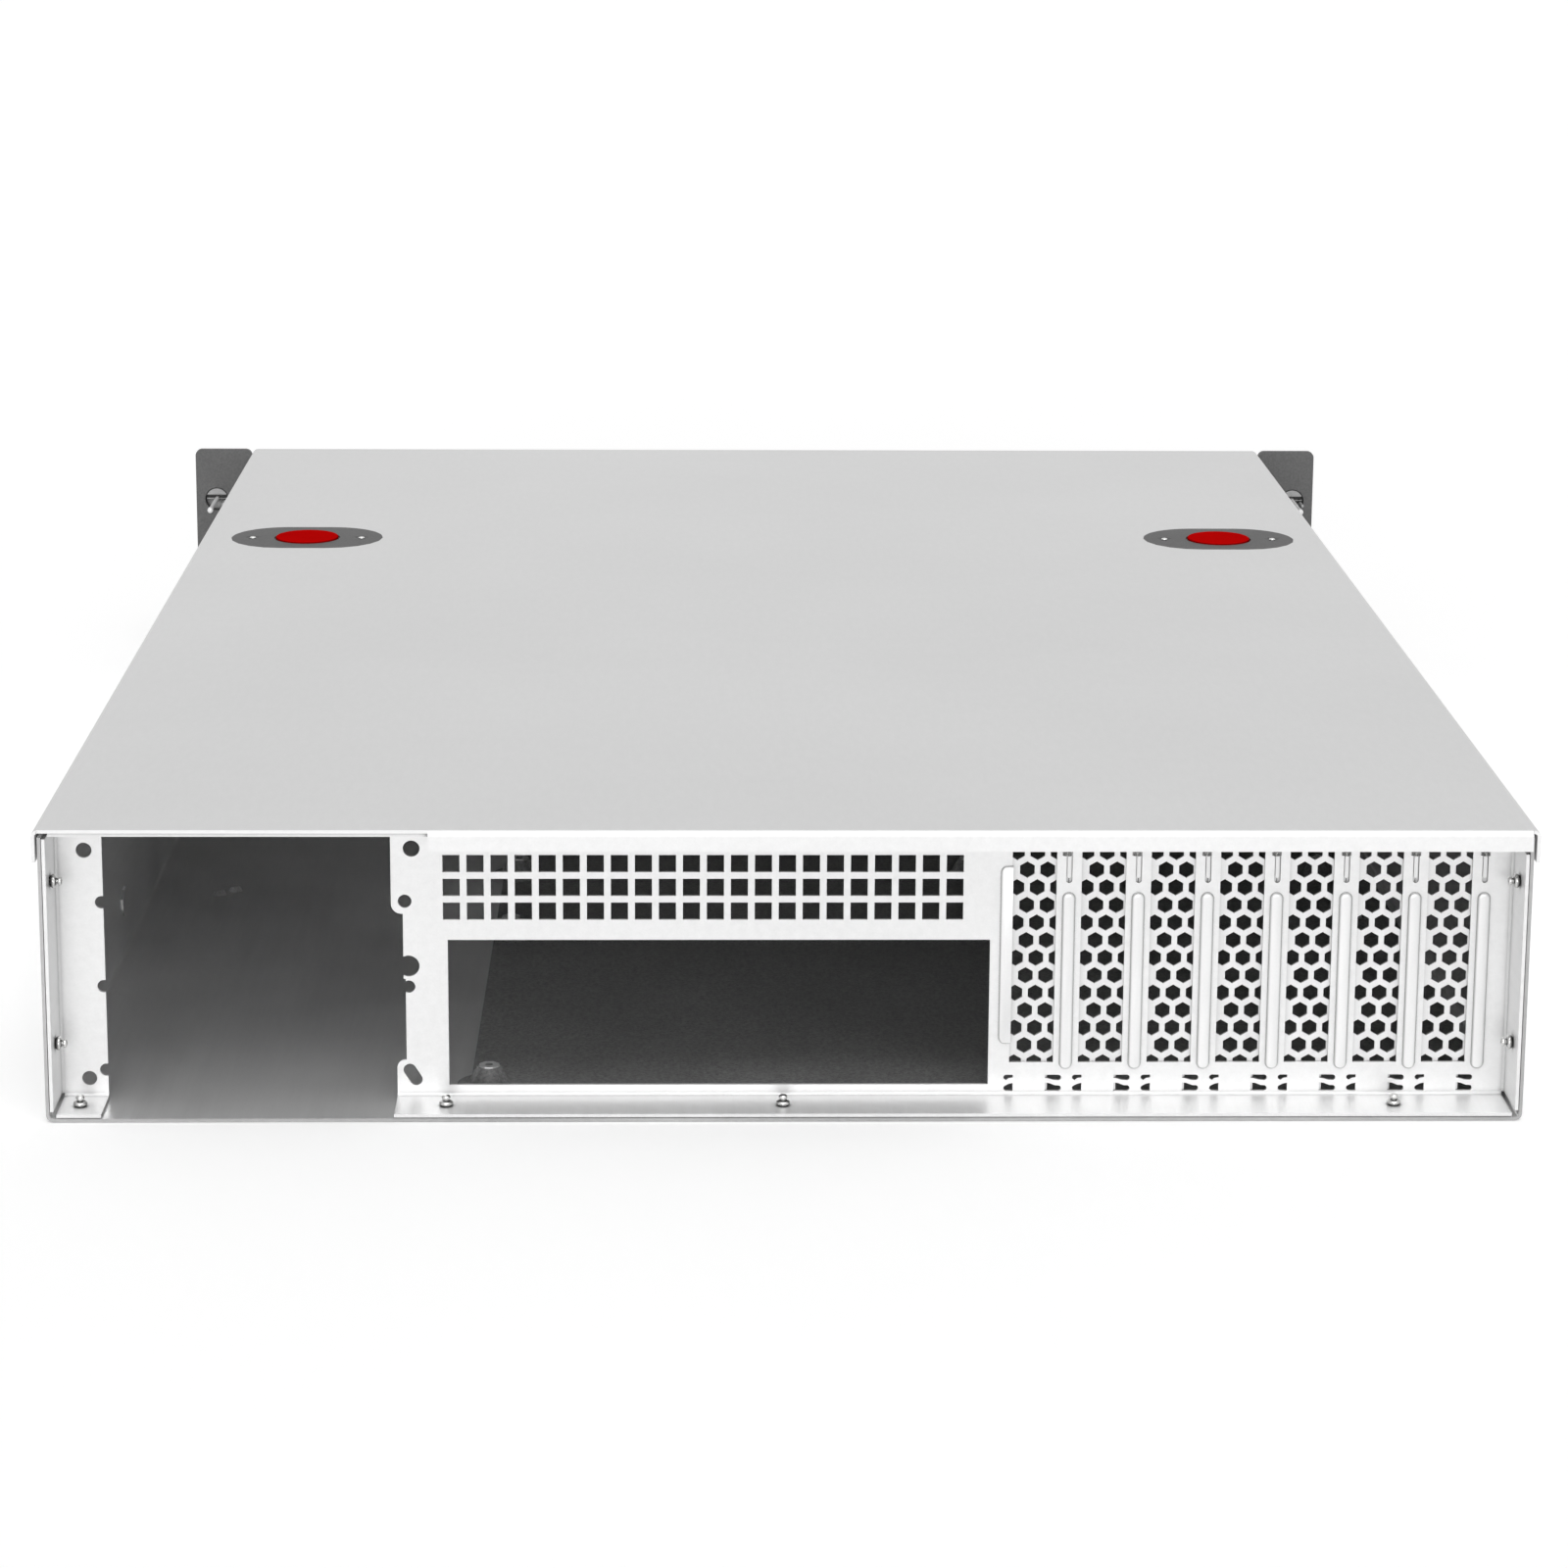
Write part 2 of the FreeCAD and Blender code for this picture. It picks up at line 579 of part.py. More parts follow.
def rear_panel():
    edge = WALL_INSIDE - FIT_GAP
    fold = BEND + SHEET
    end = PANEL_Y + FLANGE_REACH
    face = rear_panel_face()
    flanges = []

    side_path = [(edge, end), (edge, PANEL_BACK_Y), (edge - fold, PANEL_BACK_Y)]
    side = sheet_section(side_path[::-1], SHEET, on_xy(SHEET + fold))
    right = side.extrude(V(0, 0, PANEL_TOP - SHEET - 2 * fold))
    left_side = sheet_section(side_path[::-1], SHEET, on_xy(SHEET + fold))
    left = mirrored(left_side.extrude(V(0, 0, SHELF_TOP - SHEET - 2 * fold)))
    flanges += [right, left]

    bottom_path = [(end, SHEET), (PANEL_BACK_Y, SHEET), (PANEL_BACK_Y, SHEET + fold)]
    bottom = sheet_section(bottom_path[::-1], SHEET, on_yz(-edge + fold))
    flanges.append(bottom.extrude(V(2 * edge - 2 * fold, 0, 0)))

    top_path = [(end, PANEL_TOP), (PANEL_BACK_Y, PANEL_TOP), (PANEL_BACK_Y, PANEL_TOP - fold)]
    top = sheet_section(top_path, SHEET, on_yz(ZONE_SPLIT_X))
    flanges.append(top.extrude(V(edge - fold - ZONE_SPLIT_X, 0, 0)))

    shelf_end = PANEL_Y + 12.5
    shelf_path = [(shelf_end, SHELF_TOP), (PANEL_BACK_Y, SHELF_TOP), (PANEL_BACK_Y, SHELF_TOP - fold)]
    shelf = sheet_section(shelf_path, SHEET, on_yz(-edge + fold))
    flanges.append(shelf.extrude(V(ZONE_SPLIT_X - FIT_GAP + edge - fold, 0, 0)))

    ribs = []
    bridges = []
    for index in range(SLOT_COUNT):
        x = slot_centre(index)
        ribs.append(embossed_rib(x + SLOT_RIB_OFFSET, RIB_BOTTOM, RIB_TOP, RIB_WIDTH))
        bridges.append(tongue_bridge(x))
    ribs.append(embossed_rib(EDGE_RIB_X, EDGE_RIB_BOTTOM, EDGE_RIB_TOP, RIB_WIDTH))
    panel = fuse_all([face] + flanges + ribs + bridges)

    cutters = psu_cutter()
    foot_x = PSU_INNER_X - 1.2
    cutters.append(box(foot_x, PSU_OUTER_X, PANEL_BACK_Y - 1, Y_REAR + 1, -1, SHEET + fold + 1))
    for centre, axis, grip in rear_rivet_places():
        cutters.append(rivet_hole(centre, axis, grip))
    for index in range(SLOT_COUNT):
        x, y = slot_screw_place(index)
        start = V(x, y, SHELF_TOP - 3)
        cutters.append(prism(SLOT_SCREW_RADIUS, start, V(x, y, SHELF_TOP + 1), FASTENER_SIDES))
    return panel.cut(cutters)


# ---------------------------------------------------------------- slot covers
COVER_SHEET = 0.9
SLOT_COVER_WIDTH = 18.4
TONGUE_WIDTH = 9.8
TONGUE_TIP = 2.6
TONGUE_SHOULDER = 9.0           # where the tongue widens to the full cover
SHOULDER_RISE = 0.9
TAB_REACH = 11.2
HEX_SIZE = 9.6                  # hexagonal perforation, across flats
HEX_FIRST_ROW = 22.0
HEX_ROW_PITCH = 15.8
HEX_ROWS = 4
HEX_OFFSET = -0.9               # the pattern is off the middle of the cover
SLOT_SCREW_RADIUS = 1.5
SLOT_SCREW_HEAD = 2.9
SLOT_SCREW_HEAD_HEIGHT = 1.8
SLOT_SCREW_LENGTH = 4.0
SLOT_SCREW_FROM_PANEL = 6.2


def slot_screw_place(index):
    return slot_centre(index) + SLOT_RIB_OFFSET, PANEL_Y + SLOT_SCREW_FROM_PANEL


def slot_cover(index):
    """Blanking bracket: perforated plate, tongue below, screw tab above."""
    x = slot_centre(index)
    back = PANEL_BACK_Y - COVER_SHEET
    place = on_xz(back)
    half = SLOT_COVER_WIDTH / 2
    tongue = TONGUE_WIDTH / 2
    fold = 0.5 + COVER_SHEET
    outline = polygon(
        [
            (x - tongue, TONGUE_TIP), (x + tongue, TONGUE_TIP), (x + tongue, TONGUE_SHOULDER),
            (x + half, TONGUE_SHOULDER + SHOULDER_RISE), (x + half, SHELF_TOP + COVER_SHEET - fold),
            (x - half, SHELF_TOP + COVER_SHEET - fold), (x - half, TONGUE_SHOULDER + SHOULDER_RISE),
            (x - tongue, TONGUE_SHOULDER),
        ],
        place,
    )
    holes = []
    for row in range(HEX_ROWS):
        z = HEX_FIRST_ROW + row * HEX_ROW_PITCH
        holes.append(hexagon(x + HEX_OFFSET, z, HEX_SIZE, place))
    face = plate(outline, holes, V(0, COVER_SHEET, 0))
    tab_path = [
        (PANEL_BACK_Y + TAB_REACH, SHELF_TOP + COVER_SHEET), (back, SHELF_TOP + COVER_SHEET),
        (back, SHELF_TOP + COVER_SHEET - fold),
    ]
    tab = sheet_section(tab_path, COVER_SHEET, on_yz(x - half), inside=None)
    cover = fuse_all([face, tab.extrude(V(SLOT_COVER_WIDTH, 0, 0))])
    cutters = []
    for offset in (SLOT_RIB_OFFSET, SLOT_RIB_OFFSET + SLOT_PITCH):
        y = PANEL_Y + SLOT_SCREW_FROM_PANEL
        start = V(x + offset, y, SHELF_TOP - 1)
        end = V(x + offset, y, SHELF_TOP + 2)
        cutters.append(prism(SLOT_SCREW_RADIUS + 0.2, start, end, FASTENER_SIDES))
    return cover.cut(cutters)


def slot_screw(index):
    x, y = slot_screw_place(index)
    seat = COVER_SHEET
    top = seat + SLOT_SCREW_HEAD_HEIGHT
    profile = [
        (0, -SLOT_SCREW_LENGTH), (SLOT_SCREW_RADIUS, -SLOT_SCREW_LENGTH), (SLOT_SCREW_RADIUS, seat),
        (SLOT_SCREW_HEAD, seat), (SLOT_SCREW_HEAD, top), (0, top),
    ]
    return faceted(profile, V(x, y, SHELF_TOP), V(0, 0, 1), FASTENER_SIDES)


# ---------------------------------------------------------------- front panel
FRONT_FLANGE = 20.0


def front_panel():
    edge = WALL_INSIDE
    fold = BEND + SHEET
    face = box(-edge + fold, edge - fold, Y_FRONT, Y_FRONT + SHEET, SHEET + fold, PANEL_TOP - fold)
    end = Y_FRONT + FRONT_FLANGE
    side_path = [(edge, end), (edge, Y_FRONT), (edge - fold, Y_FRONT)]
    side = sheet_section(side_path[::-1], SHEET, on_xy(SHEET + fold))
    side = side.extrude(V(0, 0, PANEL_TOP - SHEET - 2 * fold - 5))
    bottom_path = [(end, SHEET), (Y_FRONT, SHEET), (Y_FRONT, SHEET + fold)]
    bottom = sheet_section(bottom_path[::-1], SHEET, on_yz(-edge + fold))
    bottom = bottom.extrude(V(2 * edge - 2 * fold, 0, 0))
    top_path = [(end, PANEL_TOP), (Y_FRONT, PANEL_TOP), (Y_FRONT, PANEL_TOP - fold)]
    top = sheet_section(top_path, SHEET, on_yz(-edge + fold))
    top = top.extrude(V(2 * edge - 2 * fold, 0, 0))
    panel = fuse_all([face, side, mirrored(side), bottom, top])
    cutters = []
    for side in (1, -1):
        for y, z in ear_screw_places():
            cutters.append(ear_screw(y, z, side))
    return panel.cut(cutters)


# ---------------------------------------------------------------- rack ears and captive fasteners
EAR_FLANGE_LENGTH = 30.0
EAR_CORNER = 2.8
RACK_HOLE_RADIUS = 5.0
EAR_HOLE_SIDES = 16
RACK_HOLE_Z = ((CASE_HEIGHT - RACK_UNIT) / 2, (CASE_HEIGHT + RACK_UNIT) / 2)


def rack_ear():
    """Ear on the +X side: a plate across the rack post, folded back along the side wall."""
    outer = RACK_WIDTH / 2
    inner = HALF_WIDTH + EAR_SHEET
    flange_top = CASE_HEIGHT - SKIRT_HEIGHT - 1.5
    place = on_xz(Y_FRONT)
    points = [
        (inner + EAR_SHEET, 0), (outer, 0), (outer, CASE_HEIGHT), (inner, CASE_HEIGHT),
        (inner, flange_top), (inner + EAR_SHEET, flange_top),
    ]
    outline = rounded_wire(points, [0, EAR_CORNER, EAR_CORNER, EAR_CORNER, 0, 0], place)
    holes = []
    for z in RACK_HOLE_Z:
        holes.append(regular_polygon(RACK_HOLE_SPACING / 2, z, RACK_HOLE_RADIUS, EAR_HOLE_SIDES, place))
    face = plate(outline, holes, V(0, EAR_SHEET, 0))
    path = [
        (HALF_WIDTH, Y_EAR_BACK + EAR_FLANGE_LENGTH), (HALF_WIDTH, Y_FRONT),
        (inner + EAR_SHEET, Y_FRONT),
    ]
    section = sheet_section(path, EAR_SHEET, on_xy(0), inside=1.5)
    flange = section.extrude(V(0, 0, flange_top))
    ear = fuse_all([face, flange])
    return ear.cut([ear_screw(y, z, 1) for y, z in ear_screw_places()])


HEAD_RADIUS = 7.0
HEAD_INNER_RADIUS = 6.3
KNURLS = 6
PLUG_RADIUS = 4.6
PLUG_SIDES = 12
PIN_RADIUS = 1.0
PIN_LENGTH = 27.0
PRONG_RADIUS = 0.75
PRONG_LENGTH = 8.0
PRONG_OFFSET = 3.4
COLLAR_RADIUS = 1.3
COLLAR_PROUD = 0.4


def rack_fastener(x, z):
    """Captive rack fastener: ribbed thumb head, slotted plug in the ear's hole, long pin."""
    head_back = Y_FRONT - THUMB_HEAD_GAP
    head_front = head_back - THUMB_HEAD_LENGTH
    points = []
    for i in range(KNURLS * 2):
        turn = math.radians(180 / KNURLS * i)
        reach = HEAD_RADIUS if i % 2 == 0 else HEAD_INNER_RADIUS
        points.append((x + reach * math.cos(turn), z + reach * math.sin(turn)))
    head = solid_between(polygon(points, on_xz(head_front)), V(0, THUMB_HEAD_LENGTH, 0))
    plug_back = Y_EAR_BACK - 0.3
    cut_front = plug_back - 1.6
    plug = prism(PLUG_RADIUS, V(x, head_back - 1, z), V(x, plug_back, z), PLUG_SIDES)
    plug = plug.cut(box(x - 6, x + 6, cut_front, plug_back + 1, z - 6, z + 0.55))
    ledge = box(x - 4.2, x + 4.2, cut_front - 0.1, plug_back, z - 1.1, z - 0.55)
    tip = plug_back + PIN_LENGTH
    collar_end = plug_back + COLLAR_PROUD
    collar = prism(COLLAR_RADIUS, V(x, cut_front - 0.1, z), V(x, collar_end, z), FASTENER_SIDES)
    pin = rod(PIN_RADIUS, V(x, collar_end, z), V(x, tip, z))
    prong_start = V(x - PRONG_OFFSET, cut_front - 0.1, z - 1.0)
    prong_end = V(x - PRONG_OFFSET, plug_back + PRONG_LENGTH, z - 1.0)
    prong = prism(PRONG_RADIUS, prong_start, prong_end, FASTENER_SIDES)
    return fuse_all([head, plug, ledge, collar, pin, prong])


# ---------------------------------------------------------------- top cover and its latches
COVER_OUTER = HALF_WIDTH + COVER_SIDE_GAP + SHEET
REAR_FLANGE_HEIGHT = 6.3
REAR_FLANGE_RIGHT_X = 103.4
REAR_FLANGE_LEFT_X = -214.5
COVER_FRONT_Y = Y_FRONT + 1.0
RECESS_DEPTH = 0.8

LATCH_LENGTH = 58.0
LATCH_WIDTH = 41.0
LATCH_RIVET_OFFSET = 20.9
LATCH_RIVET_RADIUS = 1.2
LATCH_RIVET_HEAD = 1.8
BUTTON_PLAY = 0.5
BUTTON_PROUD = 0.8
BUTTON_FLANGE = 13.6
SPRING_SHEET = 0.5
BUTTON_SIDES = 24
STADIUM_SIDES = 10              # for each half-round end


def latch_centre(side):
    return V(side * LATCH_X, Y_REAR - LATCH_FROM_REAR, 0)


def stadium_solid(centre, length, width, z0, z1):
    """Upright slab with half-round ends, drawn with flat sides."""
    points = []
    half = width / 2
    straight = length / 2 - half
    for k in range(STADIUM_SIDES + 1):
        turn = math.radians(180 * k / STADIUM_SIDES - 90)
        points.append((centre.x + straight + half * math.cos(turn), centre.y + half * math.sin(turn)))
    for k in range(STADIUM_SIDES + 1):
        turn = math.radians(180 * k / STADIUM_SIDES + 90)
        points.append((centre.x - straight + half * math.cos(turn), centre.y + half * math.sin(turn)))
    return solid_between(polygon(points, on_xy(z0)), V(0, 0, z1 - z0))


def top_cover():
    back = Y_REAR
    fold = BEND + SHEET
    path = [(-COVER_OUTER, COVER_TOP - SKIRT_HEIGHT), (-COVER_OUTER, COVER_TOP)]
    path += [(COVER_OUTER, COVER_TOP), (COVER_OUTER, COVER_TOP - SKIRT_HEIGHT)]
    section = sheet_section(path[::-1], SHEET, on_xz(COVER_FRONT_Y))
    skin = section.extrude(V(0, back - fold - COVER_FRONT_Y, 0))

    rear_path = [(back, COVER_TOP - REAR_FLANGE_HEIGHT), (back, COVER_TOP), (back - fold, COVER_TOP)]
    rear = sheet_section(rear_path, SHEET, on_yz(REAR_FLANGE_LEFT_X))
    rear = rear.extrude(V(REAR_FLANGE_RIGHT_X - REAR_FLANGE_LEFT_X, 0, 0))
    lip = box(REAR_FLANGE_RIGHT_X, HALF_WIDTH, back - fold - 0.1, back - 0.4, COVER_UNDERSIDE, COVER_TOP)
    pieces = [skin, rear, lip]
    skirt_end = section.copy()
    skirt_end.translate(V(0, back - fold - COVER_FRONT_Y, 0))
    ends = skirt_end.extrude(V(0, fold, 0))
    keep_right = box(HALF_WIDTH, COVER_OUTER + 1, back - fold - 1, back + 1, 0, COVER_TOP + 1)
    keep_left = box(-COVER_OUTER - 1, REAR_FLANGE_LEFT_X, back - fold - 1, back + 1, 0, COVER_TOP + 1)
    pieces += [ends.common(keep_right), ends.common(keep_left)]
    for depth in COVER_PIN_DEPTHS:
        start = V(COVER_OUTER - 0.5, back - depth, COVER_PIN_Z)
        end = V(WALL_INSIDE - 0.1, back - depth, COVER_PIN_Z)
        pin = prism(COVER_PIN_RADIUS, start, end, FASTENER_SIDES)
        pieces += [pin, mirrored(pin)]
    cutters = []
    for side in (1, -1):
        centre = latch_centre(side)
        pan_bottom = COVER_UNDERSIDE - RECESS_DEPTH
        floor = COVER_TOP - RECESS_DEPTH
        pan_length = LATCH_LENGTH + 1.6
        pan_width = LATCH_WIDTH + 1.6
        pieces.append(stadium_solid(centre, pan_length, pan_width, pan_bottom, COVER_UNDERSIDE))
        recess_length = LATCH_LENGTH + 0.2
        recess_width = LATCH_WIDTH + 0.2
        cutters.append(stadium_solid(centre, recess_length, recess_width, floor, COVER_TOP + 1))
        hole_radius = BUTTON_RADIUS + BUTTON_PLAY
        hole_start = centre + V(0, 0, pan_bottom - 1)
        cutters.append(prism(hole_radius, hole_start, centre + V(0, 0, COVER_TOP), BUTTON_SIDES))
        for offset in (LATCH_RIVET_OFFSET, -LATCH_RIVET_OFFSET):
            cutters.append(latch_rivet(side, offset))
    return fuse_all(pieces).cut(cutters)


def latch_plate(side):
    centre = latch_centre(side)
    floor = COVER_TOP - RECESS_DEPTH
    body = stadium_solid(centre, LATCH_LENGTH, LATCH_WIDTH, floor, COVER_TOP)
    hole_start = centre + V(0, 0, floor - 1)
    hole_end = centre + V(0, 0, COVER_TOP + 1)
    cutters = [prism(BUTTON_RADIUS + BUTTON_PLAY, hole_start, hole_end, BUTTON_SIDES)]
    for offset in (LATCH_RIVET_OFFSET, -LATCH_RIVET_OFFSET):
        cutters.append(latch_rivet(side, offset))
    return body.cut(cutters)


def latch_rivet(side, offset):
    """Rivet through a latch plate, the cover and the spring, with its head in the plate."""
    tail = SHEET + RECESS_DEPTH + SPRING_SHEET
    profile = [
        (0, -tail - 0.7), (LATCH_RIVET_RADIUS + 0.8, -tail - 0.7), (LATCH_RIVET_RADIUS + 0.8, -tail),
        (LATCH_RIVET_RADIUS, -tail), (LATCH_RIVET_RADIUS, -0.6), (LATCH_RIVET_HEAD, 0), (0, 0),
    ]
    return faceted(profile, latch_centre(side) + V(offset, 0, COVER_TOP), V(0, 0, 1), FASTENER_SIDES)


def release_button(side):
    """Red push button with a retaining flange under the cover."""
    pan_bottom = COVER_UNDERSIDE - RECESS_DEPTH
    top = COVER_TOP + BUTTON_PROUD
    profile = [
        (0, pan_bottom - 1.0), (BUTTON_FLANGE, pan_bottom - 1.0), (BUTTON_FLANGE, pan_bottom),
        (BUTTON_RADIUS, pan_bottom), (BUTTON_RADIUS, top - 0.5), (BUTTON_RADIUS - 0.5, top), (0, top),
    ]
    return faceted(profile, latch_centre(side), V(0, 0, 1), BUTTON_SIDES)


HOOK_WIDTH = 12.0
HOOK_SLOT_PLAY = 0.6
HOOK_CENTRE = -27.0             # in front of the button's centre


def latch_spring(side):
    """Leaf spring under the button: both ends riveted to the cover, a toothed tongue reaching forward."""
    centre = latch_centre(side)
    high = COVER_UNDERSIDE - RECESS_DEPTH
    low = high - 1.1
    reach = LATCH_RIVET_OFFSET + 4.0
    path = [(-reach, high), (-16.5, high), (-14.4, low), (14.4, low), (16.5, high), (reach, high)]
    path = [(centre.x + a, b) for a, b in path]
    section = sheet_section(path[::-1], SPRING_SHEET, on_xz(centre.y - 5.0), inside=None)
    strip = section.extrude(V(0, 10.0, 0))
    tongue_top = BRACE_TOP - SHEET - 0.4
    tooth = BRACE_TOP - 0.1
    y = centre.y
    front = HOOK_CENTRE - 3.0
    path = [(y - 4.0, low), (y - 8.0, low), (y - 13.0, tongue_top)]
    path += [(y + front, tongue_top), (y + front, tooth)]
    section = sheet_section(path, SPRING_SHEET, on_yz(centre.x - HOOK_WIDTH / 2), inside=None)
    tongue = section.extrude(V(HOOK_WIDTH, 0, 0))
    holes = []
    for offset in (LATCH_RIVET_OFFSET, -LATCH_RIVET_OFFSET):
        holes.append(latch_rivet(side, offset))
    return fuse_all([strip, tongue]).cut(holes)


def cross_brace():
    """Channel across the case; its web has the slots that the latch hooks catch in."""
    low = BRACE_TOP - BRACE_DEPTH
    section_path = [
        (BRACE_FRONT, low), (BRACE_FRONT, BRACE_TOP), (BRACE_BACK, BRACE_TOP), (BRACE_BACK, low),
    ]
    fold = BEND + SHEET
    section = sheet_section(section_path[::-1], SHEET, on_yz(-WALL_INSIDE + fold))
    channel = section.extrude(V(2 * (WALL_INSIDE - fold), 0, 0))
    tab_path = [(WALL_INSIDE - fold - 0.1, BRACE_TOP), (WALL_INSIDE, BRACE_TOP)]
    tab_path.append((WALL_INSIDE, BRACE_TOP - BRACE_TAB_DEPTH))
    tab = sheet_section(tab_path[::-1], SHEET, on_xz(BRACE_FRONT + fold + 1))
    tab = tab.extrude(V(0, BRACE_BACK - BRACE_FRONT - 2 * fold - 2, 0))
    cutters = []
    for side in (1, -1):
        centre = latch_centre(side)
        hook_y = centre.y + HOOK_CENTRE - 3.0
        half = HOOK_WIDTH / 2 + HOOK_SLOT_PLAY
        x0 = centre.x - half
        x1 = centre.x + half
        cutters.append(box(x0, x1, hook_y - 1.0, hook_y + 1.2, BRACE_TOP - 3, BRACE_TOP + 1))
        cutters.append(box(x0, x1, BRACE_BACK - 1.5, BRACE_BACK + 1, low - 1, BRACE_TOP - 1.4))
    return fuse_all([channel, tab, mirrored(tab)]).cut(cutters)


# ---------------------------------------------------------------- build
os.makedirs("parts", exist_ok=True)

export("base_tray", base_tray())
export("insulation_film", insulation_film())
export("rear_panel", rear_panel())
for number in range(SLOT_COUNT):
    export("slot_cover_%d" % (number + 1), slot_cover(number))
export("slot_cover_screws", group([slot_screw(number) for number in range(SLOT_COUNT)]))
export("rear_panel_rivets", group([blind_rivet(*place) for place in rear_rivet_places()]))

export("front_panel", front_panel())

export("rack_ear_right", rack_ear())
export("rack_ear_left", mirrored(rack_ear()))
screws = [ear_screw(y, z, side) for side in (1, -1) for y, z in ear_screw_places()]
export("ear_screws", group(screws))
for side, side_name in ((1, "right"), (-1, "left")):
    for z, level in zip(RACK_HOLE_Z, ("lower", "upper")):
        name = "rack_fastener_%s_%s" % (side_name, level)
        export(name, rack_fastener(side * RACK_HOLE_SPACING / 2, z))

export("cross_brace", cross_brace())

export("top_cover", top_cover())
rivets = []
for side, side_name in ((1, "right"), (-1, "left")):
    export("latch_plate_" + side_name, latch_plate(side))
    export("latch_spring_" + side_name, latch_spring(side))
    export("release_button_" + side_name, release_button(side))
    rivets += [latch_rivet(side, LATCH_RIVET_OFFSET), latch_rivet(side, -LATCH_RIVET_OFFSET)]
export("latch_rivets", group(rivets))
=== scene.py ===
import bmesh
import bpy
import json
import math
from mathutils import Matrix, Vector
from mathutils.geometry import delaunay_2d_cdt


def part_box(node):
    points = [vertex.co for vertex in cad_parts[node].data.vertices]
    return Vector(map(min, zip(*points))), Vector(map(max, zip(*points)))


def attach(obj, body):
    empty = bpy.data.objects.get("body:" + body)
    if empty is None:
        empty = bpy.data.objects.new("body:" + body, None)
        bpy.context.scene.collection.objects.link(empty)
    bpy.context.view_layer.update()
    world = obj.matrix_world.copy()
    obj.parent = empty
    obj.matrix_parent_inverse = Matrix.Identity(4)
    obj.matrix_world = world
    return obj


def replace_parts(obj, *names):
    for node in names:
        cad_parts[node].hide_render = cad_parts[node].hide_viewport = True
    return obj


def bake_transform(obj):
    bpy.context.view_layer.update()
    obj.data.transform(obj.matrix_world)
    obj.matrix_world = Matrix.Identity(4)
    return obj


# Looks of the empty 2U rack case. The rear faces +Y, the front -Y, and right is +X.
# Lengths are in millimetres, apart from those in the materials and on the stage, which are in metres.

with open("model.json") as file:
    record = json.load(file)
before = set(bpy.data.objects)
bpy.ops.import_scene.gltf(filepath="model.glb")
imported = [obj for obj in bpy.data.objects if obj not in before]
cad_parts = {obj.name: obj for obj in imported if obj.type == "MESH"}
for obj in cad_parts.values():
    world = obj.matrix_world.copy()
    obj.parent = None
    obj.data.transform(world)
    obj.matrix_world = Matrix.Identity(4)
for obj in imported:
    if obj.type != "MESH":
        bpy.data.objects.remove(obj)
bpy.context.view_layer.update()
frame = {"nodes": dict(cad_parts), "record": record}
scene = bpy.context.scene
MM = 0.001
SIDES = ((1, "right"), (-1, "left"))


def box_mm(node):
    """Lowest and highest corner of a CAD node."""
    low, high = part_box(node)
    return low * 1000, high * 1000


# ---------------------------------------------------------------- node trees


class Nodes:
    """An emptied node tree, with short calls to fill it."""

    def __init__(self, tree):
        self.tree = tree
        self.tree.nodes.clear()

    def add(self, kind, **values):
        node = self.tree.nodes.new(kind)
        for key, value in values.items():
            setattr(node, key, value)
        return node

    def link(self, source, target):
        self.tree.links.new(source, target)


